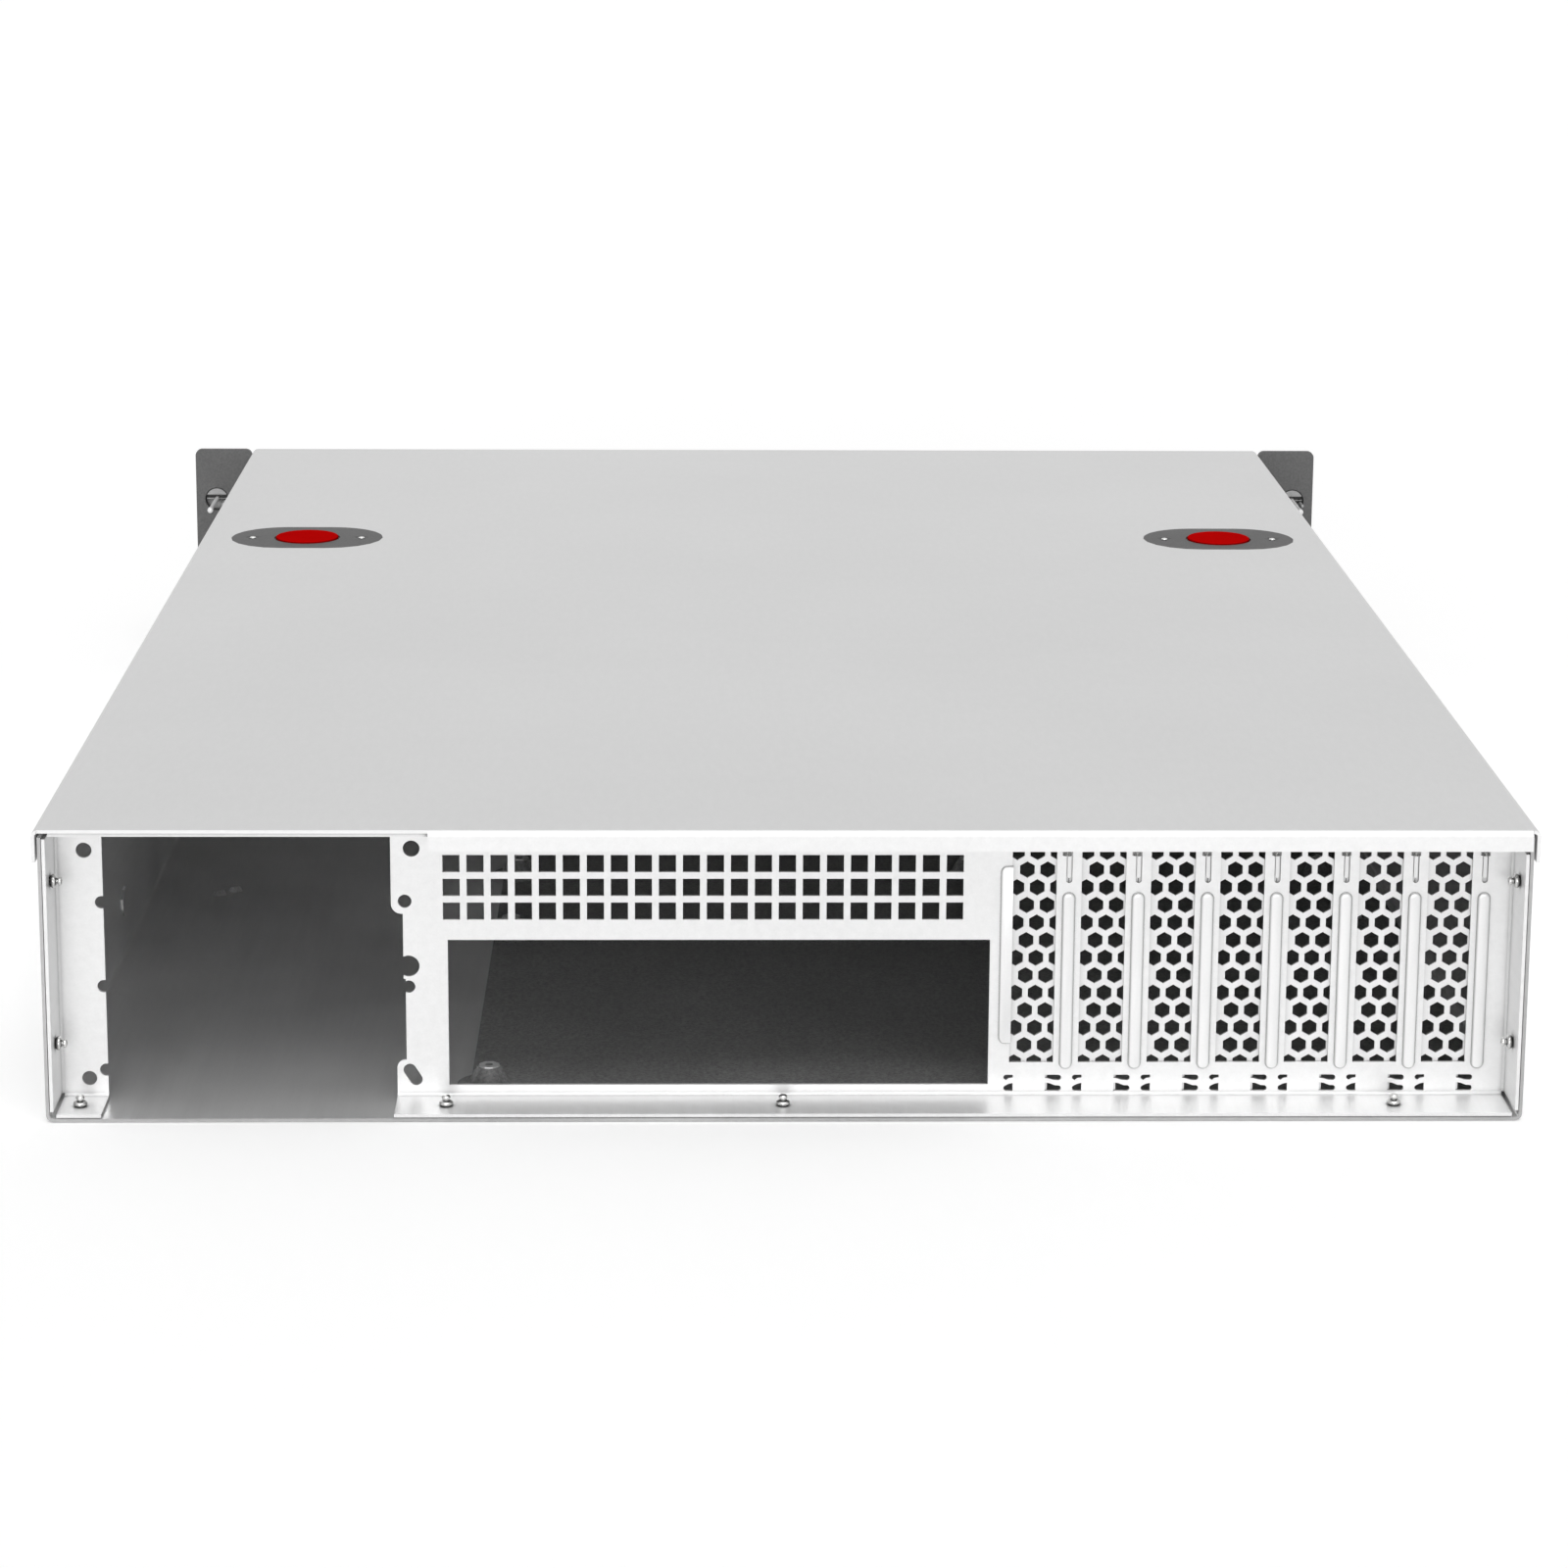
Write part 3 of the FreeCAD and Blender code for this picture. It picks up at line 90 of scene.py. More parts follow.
class Shader(Nodes):
    """A principled material whose colour, roughness and bump come from nodes."""

    def __init__(self, name):
        self.material = bpy.data.materials.new(name)
        self.material.use_nodes = True
        super().__init__(self.material.node_tree)
        out = self.add("ShaderNodeOutputMaterial")
        self.main = self.add("ShaderNodeBsdfPrincipled")
        self.link(self.main.outputs[0], out.inputs[0])
        self.place = self.add("ShaderNodeTexCoord").outputs["Object"]

    def noise(self, scale, stretch=(1, 1, 1), detail=3.0, rough=0.55):
        mapping = self.add("ShaderNodeMapping")
        mapping.inputs["Scale"].default_value = [scale * s for s in stretch]
        self.link(self.place, mapping.inputs["Vector"])
        noise = self.add("ShaderNodeTexNoise")
        noise.inputs["Scale"].default_value = 1.0
        noise.inputs["Detail"].default_value = detail
        noise.inputs["Roughness"].default_value = rough
        self.link(mapping.outputs[0], noise.inputs["Vector"])
        return noise.outputs[0]

    def spread(self, source, low, high, start=0.3, end=0.7):
        """Values from start to end of the source become values from low to high."""
        node = self.add("ShaderNodeMapRange")
        node.inputs["From Min"].default_value = start
        node.inputs["From Max"].default_value = end
        node.inputs["To Min"].default_value = low
        node.inputs["To Max"].default_value = high
        self.link(source, node.inputs["Value"])
        return node.outputs[0]

    def shade(self, colour, *factors):
        """The colour multiplied by every factor."""
        value = factors[0]
        for other in factors[1:]:
            node = self.add("ShaderNodeMath", operation="MULTIPLY")
            self.link(value, node.inputs[0])
            self.link(other, node.inputs[1])
            value = node.outputs[0]
        mix = self.add("ShaderNodeVectorMath", operation="SCALE")
        mix.inputs[0].default_value = colour
        self.link(value, mix.inputs["Scale"])
        self.link(mix.outputs[0], self.main.inputs["Base Color"])

    def roughness(self, source, low, high):
        self.link(self.spread(source, low, high), self.main.inputs["Roughness"])

    def bump(self, height, strength, distance):
        node = self.add("ShaderNodeBump")
        node.inputs["Strength"].default_value = strength
        node.inputs["Distance"].default_value = distance
        self.link(height, node.inputs["Height"])
        self.link(node.outputs[0], self.main.inputs["Normal"])

    def crevices(self, low, reach, start=0.4, end=0.95):
        """Painted shade where surfaces meet: ambient occlusion darkens the colour there."""
        node = self.add("ShaderNodeAmbientOcclusion", samples=6)
        node.inputs["Distance"].default_value = reach
        return self.spread(node.outputs["AO"], low, 1.0, start, end)

    def facing(self, axis, low, high, sign=1):
        """High for faces turned along the axis, or against it where sign is -1, and low for the rest."""
        parts = self.add("ShaderNodeSeparateXYZ")
        self.link(self.add("ShaderNodeNewGeometry").outputs["True Normal"], parts.inputs[0])
        if sign > 0:
            return self.spread(parts.outputs[axis], low, high, 0.4, 0.7)
        return self.spread(parts.outputs[axis], high, low, -0.7, -0.4)

    def set(self, **values):
        for key, value in values.items():
            self.main.inputs[key.replace("_", " ")].default_value = value


# ---------------------------------------------------------------- materials
# A sheen is the lowest and the highest roughness.
# Facing light: each entry is an axis, its sign and the tone of the faces turned that way, light and shade
# painted by how a face is turned.


def sheet_metal(name, grey, metallic, sheen, brush, depth, crevice_shade=None, facing_light=(), cloud=0.015):
    """Bright sheet: fine rolling lines, broad clouds, faint by default, a slightly uneven sheen, and where
    given, painted shade in crevices and painted light or shade by facing.
    """
    s = Shader(name)
    clouds = s.noise(9, detail=2.0)
    lines = s.noise(420, brush, 3.0, 0.6)
    grain = s.noise(1500, detail=2.0)
    tones = [s.spread(clouds, 1 - cloud, 1 + cloud)]
    tones += [s.spread(lines, 0.97, 1.02), s.spread(grain, 0.985, 1.01)]
    # Painted shade: ambient occlusion darkens the colour where surfaces meet.
    if crevice_shade:
        tones.append(s.crevices(crevice_shade, 0.0024, 0.5, 0.86))
    # Painted light and shade: faces turned along each given axis take its tone.
    for axis, sign, tone in facing_light:
        tones.append(s.facing(axis, 1.0, tone, sign))
    s.shade((grey, grey, grey), *tones)
    s.roughness(lines, *sheen)
    s.bump(grain, depth, 0.00004)
    s.set(Metallic=metallic)
    return s.material


def dark_film():
    """Matt black film with a coarse grain, and painted shade on faces turned to the rear."""
    s = Shader("black_film")
    grain = s.noise(1100, detail=4.0, rough=0.7)
    clouds = s.noise(14)
    tones = (s.spread(grain, 0.6, 1.7), s.spread(clouds, 0.85, 1.15), s.facing("Y", 1.0, 0.5))
    s.shade((0.2, 0.2, 0.2), *tones)
    s.roughness(clouds, 0.36, 0.5)
    s.bump(grain, 0.35, 0.0001)
    return s.material


def coated(name, grey, sheen, scale, **more):
    """Powder coat: fine grain and a soft sheen."""
    s = Shader(name)
    grain = s.noise(scale, detail=4.0, rough=0.7)
    clouds = s.noise(30, detail=2.0)
    s.shade((grey, grey, grey), s.spread(grain, 0.78, 1.25), s.spread(clouds, 0.94, 1.06))
    s.roughness(grain, *sheen)
    s.bump(grain, 0.3, 0.00006)
    s.set(**more)
    return s.material


def red_plastic():
    """Moulded plastic, with painted shade on its upright sides."""
    s = Shader("red_plastic")
    clouds = s.noise(60, detail=2.0)
    s.shade((0.47, 0.002, 0.002), s.spread(clouds, 0.94, 1.05), s.facing("Z", 0.5, 1.0))
    s.roughness(clouds, 0.3, 0.36)
    s.bump(s.noise(400, detail=2.0), 0.04, 0.0001)
    s.set(Specular_IOR_Level=0.0)
    return s.material


def zinc(name, colour, tones, sheen, metallic, scale=900, crevice=None, depth=None):
    """Zinc plating of a fastener: fine grain, and painted shade in crevices where it is given."""
    s = Shader(name)
    grain = s.noise(scale)
    factors = [s.spread(grain, *tones)]
    if crevice:
        factors.append(s.crevices(*crevice))
    s.shade(colour, *factors)
    s.roughness(grain, *sheen)
    if depth:
        s.bump(grain, depth, 0.00003)
    s.set(Metallic=metallic)
    return s.material


def painted_front():
    """Dark coat on the outside of the front panel, bare bright sheet on its inner side."""
    s = Shader("front_coat")
    grain = s.noise(1100, detail=4.0, rough=0.7)
    bare = s.facing("Y", 0.0, 1.0)
    s.shade((1.0, 1.0, 1.0), s.spread(bare, 0.098, 0.88, 0.0, 1.0), s.spread(grain, 0.9, 1.08))
    s.roughness(grain, 0.4, 0.55)
    s.link(s.spread(bare, 0.0, 0.3, 0.0, 1.0), s.main.inputs["Metallic"])
    s.bump(grain, 0.3, 0.00006)
    return s.material


PAINT = {
    # Painted light: faces turned up and towards +X are lighter; painted shade where surfaces meet.
    "galvanised_sheet": sheet_metal(
        "galvanised_sheet", grey=0.82, metallic=0.5, sheen=(0.34, 0.44), brush=(1, 0.04, 1), depth=0.25,
        crevice_shade=0.3, facing_light=[("Z", 1, 1.2), ("X", 1, 1.08)],
    ),
    # Painted shade where surfaces meet, kept mild.
    "slot_cover_sheet": sheet_metal(
        "slot_cover_sheet", grey=0.79, metallic=0.5, sheen=(0.34, 0.44), brush=(1, 1, 0.05), depth=0.25,
        crevice_shade=0.8,
    ),
    # Painted light: faces turned to the rear and faces turned down are lighter.
    "cover_sheet": sheet_metal(
        "cover_sheet", grey=0.635, metallic=0.25, sheen=(0.5, 0.6), brush=(1, 0.3, 1), depth=0.2,
        facing_light=[("Y", 1, 1.32), ("Z", -1, 1.34)],
    ),
    "black_film": dark_film(),
    # Painted shade where surfaces meet.
    "zinc_fastener": zinc(
        "zinc_fastener", (0.74, 0.74, 0.73), tones=(0.93, 1.04), sheen=(0.2, 0.32), metallic=1.0,
        crevice=(0.12, 0.0022), depth=0.15,
    ),
    "spring_steel": sheet_metal(
        "spring_steel", grey=0.45, metallic=0.9, sheen=(0.3, 0.4), brush=(0.05, 1, 1), depth=0.2,
    ),
    "dark_paint": coated("dark_paint", 0.098, sheen=(0.4, 0.55), scale=1100),
    "dark_plate": coated("dark_plate", 0.12, sheen=(0.42, 0.52), scale=1300, Specular_IOR_Level=0.03),
    "red_plastic": red_plastic(),
}
# Painted shade: the ribs' sides and undersides are darker, and so are the places where surfaces meet.
RIB_METAL = sheet_metal(
    "rib_sheet", grey=0.84, metallic=0.5, sheen=(0.34, 0.44), brush=(1, 1, 0.1), depth=0.25,
    crevice_shade=0.5, facing_light=[("X", 1, 0.66), ("X", -1, 0.6), ("Z", -1, 0.5)],
)
PIN_METAL = zinc("pin_zinc", (0.8, 0.8, 0.8), tones=(0.92, 1.03), sheen=(0.3, 0.42), metallic=0.25)
# Painted shade where surfaces meet.
THUMB_METAL = zinc(
    "dull_zinc", (0.36, 0.36, 0.36), tones=(0.9, 1.08), sheen=(0.42, 0.55), metallic=0.5,
    scale=700, crevice=(0.1, 0.003),
)
OWN_PAINT = {
    # The tray's strong broad clouds are painted reflection. Faces turned to the rear, its cut edge among
    # them, are darker: partly the bare edge's own tone, partly painted shade.
    "base_tray": sheet_metal(
        "tray_sheet", grey=0.92, metallic=0.65, sheen=(0.28, 0.36), brush=(1, 0.04, 1), depth=0.25,
        facing_light=[("Y", 1, 0.5)], cloud=0.16,
    ),
    "front_panel": painted_front(),
}
slots = {part["node"]: part["material_slot"] for part in frame["record"]["subparts"]}
for name, node in frame["nodes"].items():
    node.data.materials.clear()
    node.data.materials.append(OWN_PAINT.get(name, PAINT[slots[name]]))

# ---------------------------------------------------------------- outlines


def arc(cx, cy, radius, start, end, steps):
    """Points of a round stretch from one angle to another, in degrees."""
    turns = [math.radians(start + (end - start) * k / steps) for k in range(steps + 1)]
    return [(cx + radius * math.cos(t), cy + radius * math.sin(t)) for t in turns]


def ring(cx, cy, radius, steps):
    return arc(cx, cy, radius, 0, 360, steps)[:-1]


def rect(x0, x1, y0, y1):
    return [(x0, y0), (x1, y0), (x1, y1), (x0, y1)]


def stadium(cx, cy, length, width, steps):
    half = width / 2
    straight = length / 2 - half
    return arc(cx + straight, cy, half, -90, 90, steps) + arc(cx - straight, cy, half, 90, 270, steps)


def hexagon(cx, cy, flats):
    """Hexagon with a corner at the top."""
    reach = flats / math.sqrt(3)
    turns = [math.radians(60 * k + 30) for k in range(6)]
    return [(cx + reach * math.cos(t), cy + reach * math.sin(t)) for t in turns]


def tilted_slot(cx, cy, length, width, tilt):
    c = math.cos(math.radians(tilt))
    s = math.sin(math.radians(tilt))
    return [(cx + x * c - y * s, cy + x * s + y * c) for x, y in stadium(0, 0, length, width, 14)]


def at_x(x):
    """Puts a section's points (y, z) at this x."""
    return lambda y, z: (x, y, z)


def at_y(y):
    """Puts a section's points (x, z) at this y."""
    return lambda x, z: (x, y, z)


def inside(x, y, loop):
    """Whether a point lies in a closed outline."""
    hit = False
    for i in range(len(loop)):
        x0, y0 = loop[i - 1]
        x1, y1 = loop[i]
        if (y0 > y) != (y1 > y) and x < (x1 - x0) * (y - y0) / (y1 - y0) + x0:
            hit = not hit
    return hit


def filled(outline, holes):
    """Points and triangles that fill an outline outside its holes."""
    loops = [outline] + holes
    edges = []
    start = 0
    for loop in loops:
        count = len(loop)
        edges += [(start + i, start + (i + 1) % count) for i in range(count)]
        start += count
    points = [Vector(p) for loop in loops for p in loop]
    flat, _, found, _, _, _ = delaunay_2d_cdt(points, edges, [], 1, 1e-5)
    kept = []
    for triangle in found:
        x = sum(flat[i].x for i in triangle) / 3
        y = sum(flat[i].y for i in triangle) / 3
        if inside(x, y, outline) and not any(inside(x, y, hole) for hole in holes):
            kept.append(triangle)
    order = sorted({i for triangle in kept for i in triangle})
    index = {old: new for new, old in enumerate(order)}
    return [flat[i] for i in order], [[index[i] for i in triangle] for triangle in kept]


# ---------------------------------------------------------------- meshes


class Build:
    """Collects closed shells that make up one piece."""

    def __init__(self):
        self.verts = []
        self.faces = []

    def add(self, verts, faces):
        shift = len(self.verts)
        self.verts += [tuple(v) for v in verts]
        self.faces += [[i + shift for i in face] for face in faces]

    def lathe(self, profile, centre, axis, steps, shape=None):
        """Turned body; profile points are (radius, height), from one end of the axis to the other."""
        turn_to = Vector((0, 0, 1)).rotation_difference(Vector(axis)).to_matrix()
        verts = []
        faces = []
        rows = []
        for radius, height in profile:
            if radius == 0:
                rows.append([len(verts)] * steps)
                verts.append(Vector(centre) + turn_to @ Vector((0, 0, height)))
                continue
            rows.append([len(verts) + k for k in range(steps)])
            for k in range(steps):
                turn = 2 * math.pi * k / steps
                reach = radius * (shape(turn, radius) if shape else 1.0)
                point = Vector((reach * math.cos(turn), reach * math.sin(turn), height))
                verts.append(Vector(centre) + turn_to @ point)
        for low, high in zip(rows, rows[1:]):
            for k in range(steps):
                n = (k + 1) % steps
                corners = [low[k], low[n], high[n], high[k]]
                face = [i for j, i in enumerate(corners) if i not in corners[:j]]
                if len(face) > 2:
                    faces.append(face)
        self.add(verts, faces)

    def plate(self, outline, holes, place, thickness):
        """Flat sheet with holes; place maps (a, b, depth) to a point, depth from 0 to thickness."""
        flat, triangles = filled(outline, holes)
        count = len(flat)
        edges = [(t[k], t[(k + 1) % 3]) for t in triangles for k in range(3)]
        known = set(edges)
        faces = [[i + count for i in t] for t in triangles]
        faces += [t[::-1] for t in triangles]
        faces += [[a, b, b + count, a + count] for a, b in edges if (b, a) not in known]
        self.add([place(p.x, p.y, depth) for depth in (0, thickness) for p in flat], faces)

    def stack(self, loops):
        """Shell through loops of equal length, closed over the first and the last."""
        count = len(loops[0])
        rows = [[k * count + i for i in range(count)] for k in range(len(loops))]
        faces = [rows[0][::-1], rows[-1]]
        for low, high in zip(rows, rows[1:]):
            for i in range(count):
                n = (i + 1) % count
                faces.append([low[i], low[n], high[n], high[i]])
        self.add([point for loop in loops for point in loop], faces)

    def sweep(self, section, start, end):
        """Prism from a closed section; start and end map (a, b) to points."""
        self.stack([[start(a, b) for a, b in section], [end(a, b) for a, b in section]])

    def piece(self, name, slot, body=None, smooth=35, paint=None):
        """The visible piece. It rides on the body; where there is none, it stays where it is built."""
        mesh = bpy.data.meshes.new(name)
        mesh.from_pydata([Vector(v) * MM for v in self.verts], [], self.faces)
        mesh.validate()
        mesh.update()
        mesh.materials.append(paint or PAINT[slot])
        mesh.shade_smooth()
        mesh.set_sharp_from_angle(angle=math.radians(smooth))
        obj = bpy.data.objects.new(name, mesh)
        scene.collection.objects.link(obj)
        if body:
            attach(obj, body)
        work = bmesh.new()
        work.from_mesh(mesh)
        bmesh.ops.remove_doubles(work, verts=work.verts, dist=1e-7)
        bmesh.ops.recalc_face_normals(work, faces=work.faces)
        work.to_mesh(mesh)
        work.free()
        mesh.update()
        return obj


# ---------------------------------------------------------------- shared places
Y_REAR = box_mm("top_cover")[1].y
COVER_TOP = box_mm("top_cover")[1].z
HALF_WIDTH = box_mm("base_tray")[1].x
PANEL_Y = Y_REAR - 18.5         # outer face of the recessed rear panel
SLOT_COUNT = 7
RIB_OFFSET = -10.16             # from a slot's middle to the rib and the slit beside it
BRACKET_SHEET = 0.9
SHELF_TOP = box_mm("slot_cover_1")[1].z - BRACKET_SHEET


def slot_x(number):
    """Middle of a slot."""
    low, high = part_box("slot_cover_%d" % number)
    return (low.x + high.x) * 0.5 * 1000


# ---------------------------------------------------------------- slot covers
HEX_FLATS = 4.32
HEX_PITCH = 5.95                # between the holes of a row
HEX_ROW_PITCH = 5.37
HEX_FIRST = 11.8                # height of the lowest row
HEX_ROWS = 13
HEX_SHIFT = -0.9                # from the bracket's middle to the pattern's
BRACKET_WIDTH = 20.1
BRACKET_BEND = 1.4
LAST_REACH = 11.2               # the last bracket reaches the edge of the panel
TONGUE_HALF = 4.9
TONGUE_TOP = 9.0
SHOULDER = 9.9                  # the full width starts at this height
NIB_HALF = 0.55                 # the nib shows in the slit above the rib
NIB_BOTTOM = 69.1
NIB_TOP = 77.6


def slot_cover(number):
    """Perforated bracket with a tongue below and a foot folded onto the shelf."""
    node = "slot_cover_%d" % number
    low, high = box_mm(node)
    x = (low.x + high.x) / 2
    half = BRACKET_WIDTH / 2
    far = half if number < SLOT_COUNT else LAST_REACH
    back = low.y
    face_top = high.z - BRACKET_BEND
    outline = [
        (x - TONGUE_HALF, low.z), (x + TONGUE_HALF, low.z), (x + TONGUE_HALF, TONGUE_TOP),
        (x + half, SHOULDER), (x + half, face_top),
        (x - far, face_top), (x - far, SHOULDER), (x - TONGUE_HALF, TONGUE_TOP),
    ]
    holes = []
    for row in range(HEX_ROWS):
        columns = (-1, 0, 1) if row % 2 == 0 else (-0.5, 0.5)
        for column in columns:
            hole_x = x + HEX_SHIFT + column * HEX_PITCH
            holes.append(hexagon(hole_x, HEX_FIRST + row * HEX_ROW_PITCH, HEX_FLATS))
    b = Build()
    b.plate(outline, holes, lambda a, c, d: (a, back + BRACKET_SHEET - d, c), BRACKET_SHEET)
    section = arc(back + BRACKET_BEND, face_top, BRACKET_BEND, 180, 90, 8)
    section += [(high.y, high.z), (high.y, high.z - BRACKET_SHEET)]
    section += arc(back + BRACKET_BEND, face_top, BRACKET_BEND - BRACKET_SHEET, 90, 180, 8)
    b.sweep(section, at_x(x - half), at_x(x + half))
    nib_x = x + RIB_OFFSET
    nib = arc(nib_x, NIB_BOTTOM, NIB_HALF, 180, 360, 8)
    nib += [(nib_x + NIB_HALF, NIB_TOP), (nib_x - NIB_HALF, NIB_TOP)]
    b.sweep(nib, at_y(back + BRACKET_SHEET - 0.2), at_y(PANEL_Y - 0.25))
    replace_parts(b.piece("bracket_%d" % number, "slot_cover_sheet", "chassis"), node)


for number in range(1, SLOT_COUNT + 1):
    slot_cover(number)

# ---------------------------------------------------------------- the film's collars round the bosses
BOSS_COLUMNS = (88.0, -69.48, -193.94)
BOSS_ROWS = (31.6, 186.54, 258.93)      # in from the rear edge
COLLAR_TOP = 7.0


def film_collars():
    """Thin skirts that climb from the film to just under the bosses' tops."""
    film_top = box_mm("insulation_film")[1].z
    profile = [(3.2, COLLAR_TOP), (3.5, COLLAR_TOP), (6.5, film_top + 0.5), (9.5, film_top + 0.15)]
    profile += [(9.5, film_top), (6.2, film_top), (3.2, COLLAR_TOP)]
    b = Build()
    for x in BOSS_COLUMNS:
        for row in BOSS_ROWS:
            b.lathe(profile, (x, Y_REAR - row, 0), (0, 0, 1), 40)
    b.piece("film_collars", "black_film", "chassis")


film_collars()

# ---------------------------------------------------------------- rivets in the rear recess, blind side out
RIVET_DOME = [                  # radius and height: collar, swollen body, neck and round tip
    (0, 0.9), (1.35, 0.9), (1.45, 1.9), (1.75, 2.3), (2.0, 2.7), (2.1, 3.1), (2.0, 3.45), (1.7, 3.7),
    (1.2, 3.85), (0.85, 3.9), (0.85, 4.35), (1.2, 4.45), (1.3, 4.7), (1.25, 5.1), (1.0, 5.4), (0.5, 5.55),
    (0, 5.58),
]
RIVET_INSET = 9.0               # in from the rear edge
FLOOR_RIVETS_X = (206.1, 99.5, 1.0, -178.5)
WALL_RIVETS_Z = (70.5, 21.5)


def recess_rivets():
    """Rivets up through the floor and in through both walls."""
    b = Build()
    y = Y_REAR - RIVET_INSET
    for x in FLOOR_RIVETS_X:
        b.lathe(RIVET_DOME, (x, y, 0), (0, 0, 1), 32)
    for z in WALL_RIVETS_Z:
        for side, _ in SIDES:
            b.lathe(RIVET_DOME, (side * (HALF_WIDTH - 0.2), y, z), (-side, 0, 0), 32)
    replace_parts(b.piece("recess_rivets", "zinc_fastener", "chassis"), "rear_panel_rivets")


recess_rivets()

# ---------------------------------------------------------------- rear panel: one folded sheet
PANEL_SHEET = 1.0
PANEL_FOLD = 1.8                # outside radius of its folds
PANEL_EDGE = HALF_WIDTH - 1.2   # outside of the side flanges
PANEL_UNDERSIDE = 1.25
FACE_BOTTOM = 3.05              # where the fold above the underside ends
PANEL_TOP = box_mm("rear_panel")[1].z
SPLIT_X = -61.5                 # the shelf of the slots ends here, and the full height begins
FLANGE_END = PANEL_Y + 17.2
SHELF_END = PANEL_Y + 12.5
FOLD_Y = PANEL_Y - PANEL_SHEET + PANEL_FOLD     # centres of the folds

PSU_OUTER_X = 199.1             # opening for the power supply
PSU_INNER_X = 115.5
PSU_TOP = 84.4
PSU_FOOT = 1.2                  # the opening is this much wider at the floor
PSU_HOLES = (                   # x, z and radius of the screw holes and notches round it
    (204.3, 77.0, 2.3), (109.4, 77.5, 2.45), (204.6, 7.6, 2.2), (111.5, 61.6, 2.0), (110.6, 41.9, 3.2),
    (110.6, 35.6, 1.9), (199.6, 61.3, 1.9), (199.6, 35.8, 1.9), (199.6, 10.2, 1.9),
)
PSU_SLOT = (109.7, 8.6, 7.2, 3.8, 58)   # x, z, length, width and tilt
OFF_GRID = (0.003, 0.002)       # keeps the points of a notch off the opening's own edges

APERTURE_RIGHT_X = 99.1
APERTURE_WIDTH = 158.75
APERTURE_BOTTOM = 5.4
APERTURE_TOP = 49.85

VENT_RIGHT_X = 100.4
VENT_BOTTOM = 56.0
VENT_COLUMNS = 22
VENT_ROWS = 4
VENT_PITCH_X = 7.0
VENT_PITCH_Z = 7.2
VENT_WIDTH = 5.0
VENT_HEIGHT = 5.2

WINDOW_HALF = 6.5
WINDOW_BOTTOM = 12.2
WINDOW_TOP = 79.3
SLIT_HALF = 0.9
SLIT_BOTTOM = 68.0

LANCE_RIGHT = 5.3               # from a slot's middle to the sides of its bridge
LANCE_LEFT = -4.2
LANCE_TOP = 8.3
LANCE_BOTTOM = 3.35

RIB_HALF = 1.9
RIB_BOTTOM = 10.2
RIB_TOP = 64.3
RIB_SHAPE = (                   # inset from its outline and height over the panel
    (0, -0.3), (0, 0.05), (0.08, 0.3), (0.22, 0.52), (0.45, 0.68), (0.8, 0.77), (1.3, 0.8), (1.75, 0.8),
)
END_RIB_LEFT = -66.08           # the rib before the first slot has one straight side
END_RIB_CORNER_X = -64.5
END_RIB_CORNER = 2.0
END_RIB_BOTTOM = 18.0
END_RIB_TOP = 72.3
END_RIB_SHAPE = ((0, -0.3), (0, 0.05), (0.1, 0.35), (0.3, 0.55), (0.6, 0.65))


def power_opening():
    """Opening down to the floor, with two steps in its inner edge."""
    inner = PSU_INNER_X
    outline = [(PSU_OUTER_X, -1.0), (PSU_OUTER_X, PSU_TOP), (inner, PSU_TOP)]
    outline += arc(inner - 3.0, 60.8, 3.0, 0, -90, 10)
    outline += [(inner - 3.4, 57.8), (inner - 3.4, 38.0), (inner - 4.0, 38.0), (inner - 4.0, 13.2)]
    outline += arc(inner - 3.7, 10.7, 2.5, 90, 0, 10)
    outline += [(inner - PSU_FOOT, -1.0)]
    return outline


def vents():
    """Grid of square holes above the aperture."""
    holes = []
    for column in range(VENT_COLUMNS):
        x = VENT_RIGHT_X - column * VENT_PITCH_X
        for row in range(VENT_ROWS):
            z = VENT_BOTTOM + row * VENT_PITCH_Z
            holes.append(rect(x - VENT_WIDTH, x, z, z + VENT_HEIGHT))
    return holes


def lances(x):
    """Openings on both sides of the lanced bridge that holds a bracket's tongue."""
    near = x + LANCE_RIGHT
    far = x + LANCE_LEFT
    upper_near = [(near, LANCE_TOP), (near, 7.45), (near + 1.2, 7.25), (near + 1.9, 6.7)]
    upper_near += arc(near + 2.0, 7.5, 0.8, -80, 90, 6)
    lower_near = [(near, LANCE_BOTTOM), (near + 1.9, LANCE_BOTTOM)]
    lower_near += arc(near + 1.9, 4.2, 0.85, -70, 50, 5)
    lower_near += [(near + 1.2, 5.5), (near, 5.75)]
    upper_far = [(far, LANCE_TOP), (far, 7.3), (far - 1.2, 7.1), (far - 2.4, 6.7)]
    upper_far += arc(far - 3.95, 7.45, 0.85, -95, -265, 6)
    lower_far = [(far, LANCE_BOTTOM), (far, 5.9), (far - 1.4, 5.7), (far - 3.1, 5.0)]
    lower_far += arc(far - 3.95, 4.2, 0.85, 80, 265, 6)
    return [upper_near, lower_near, upper_far, lower_far]


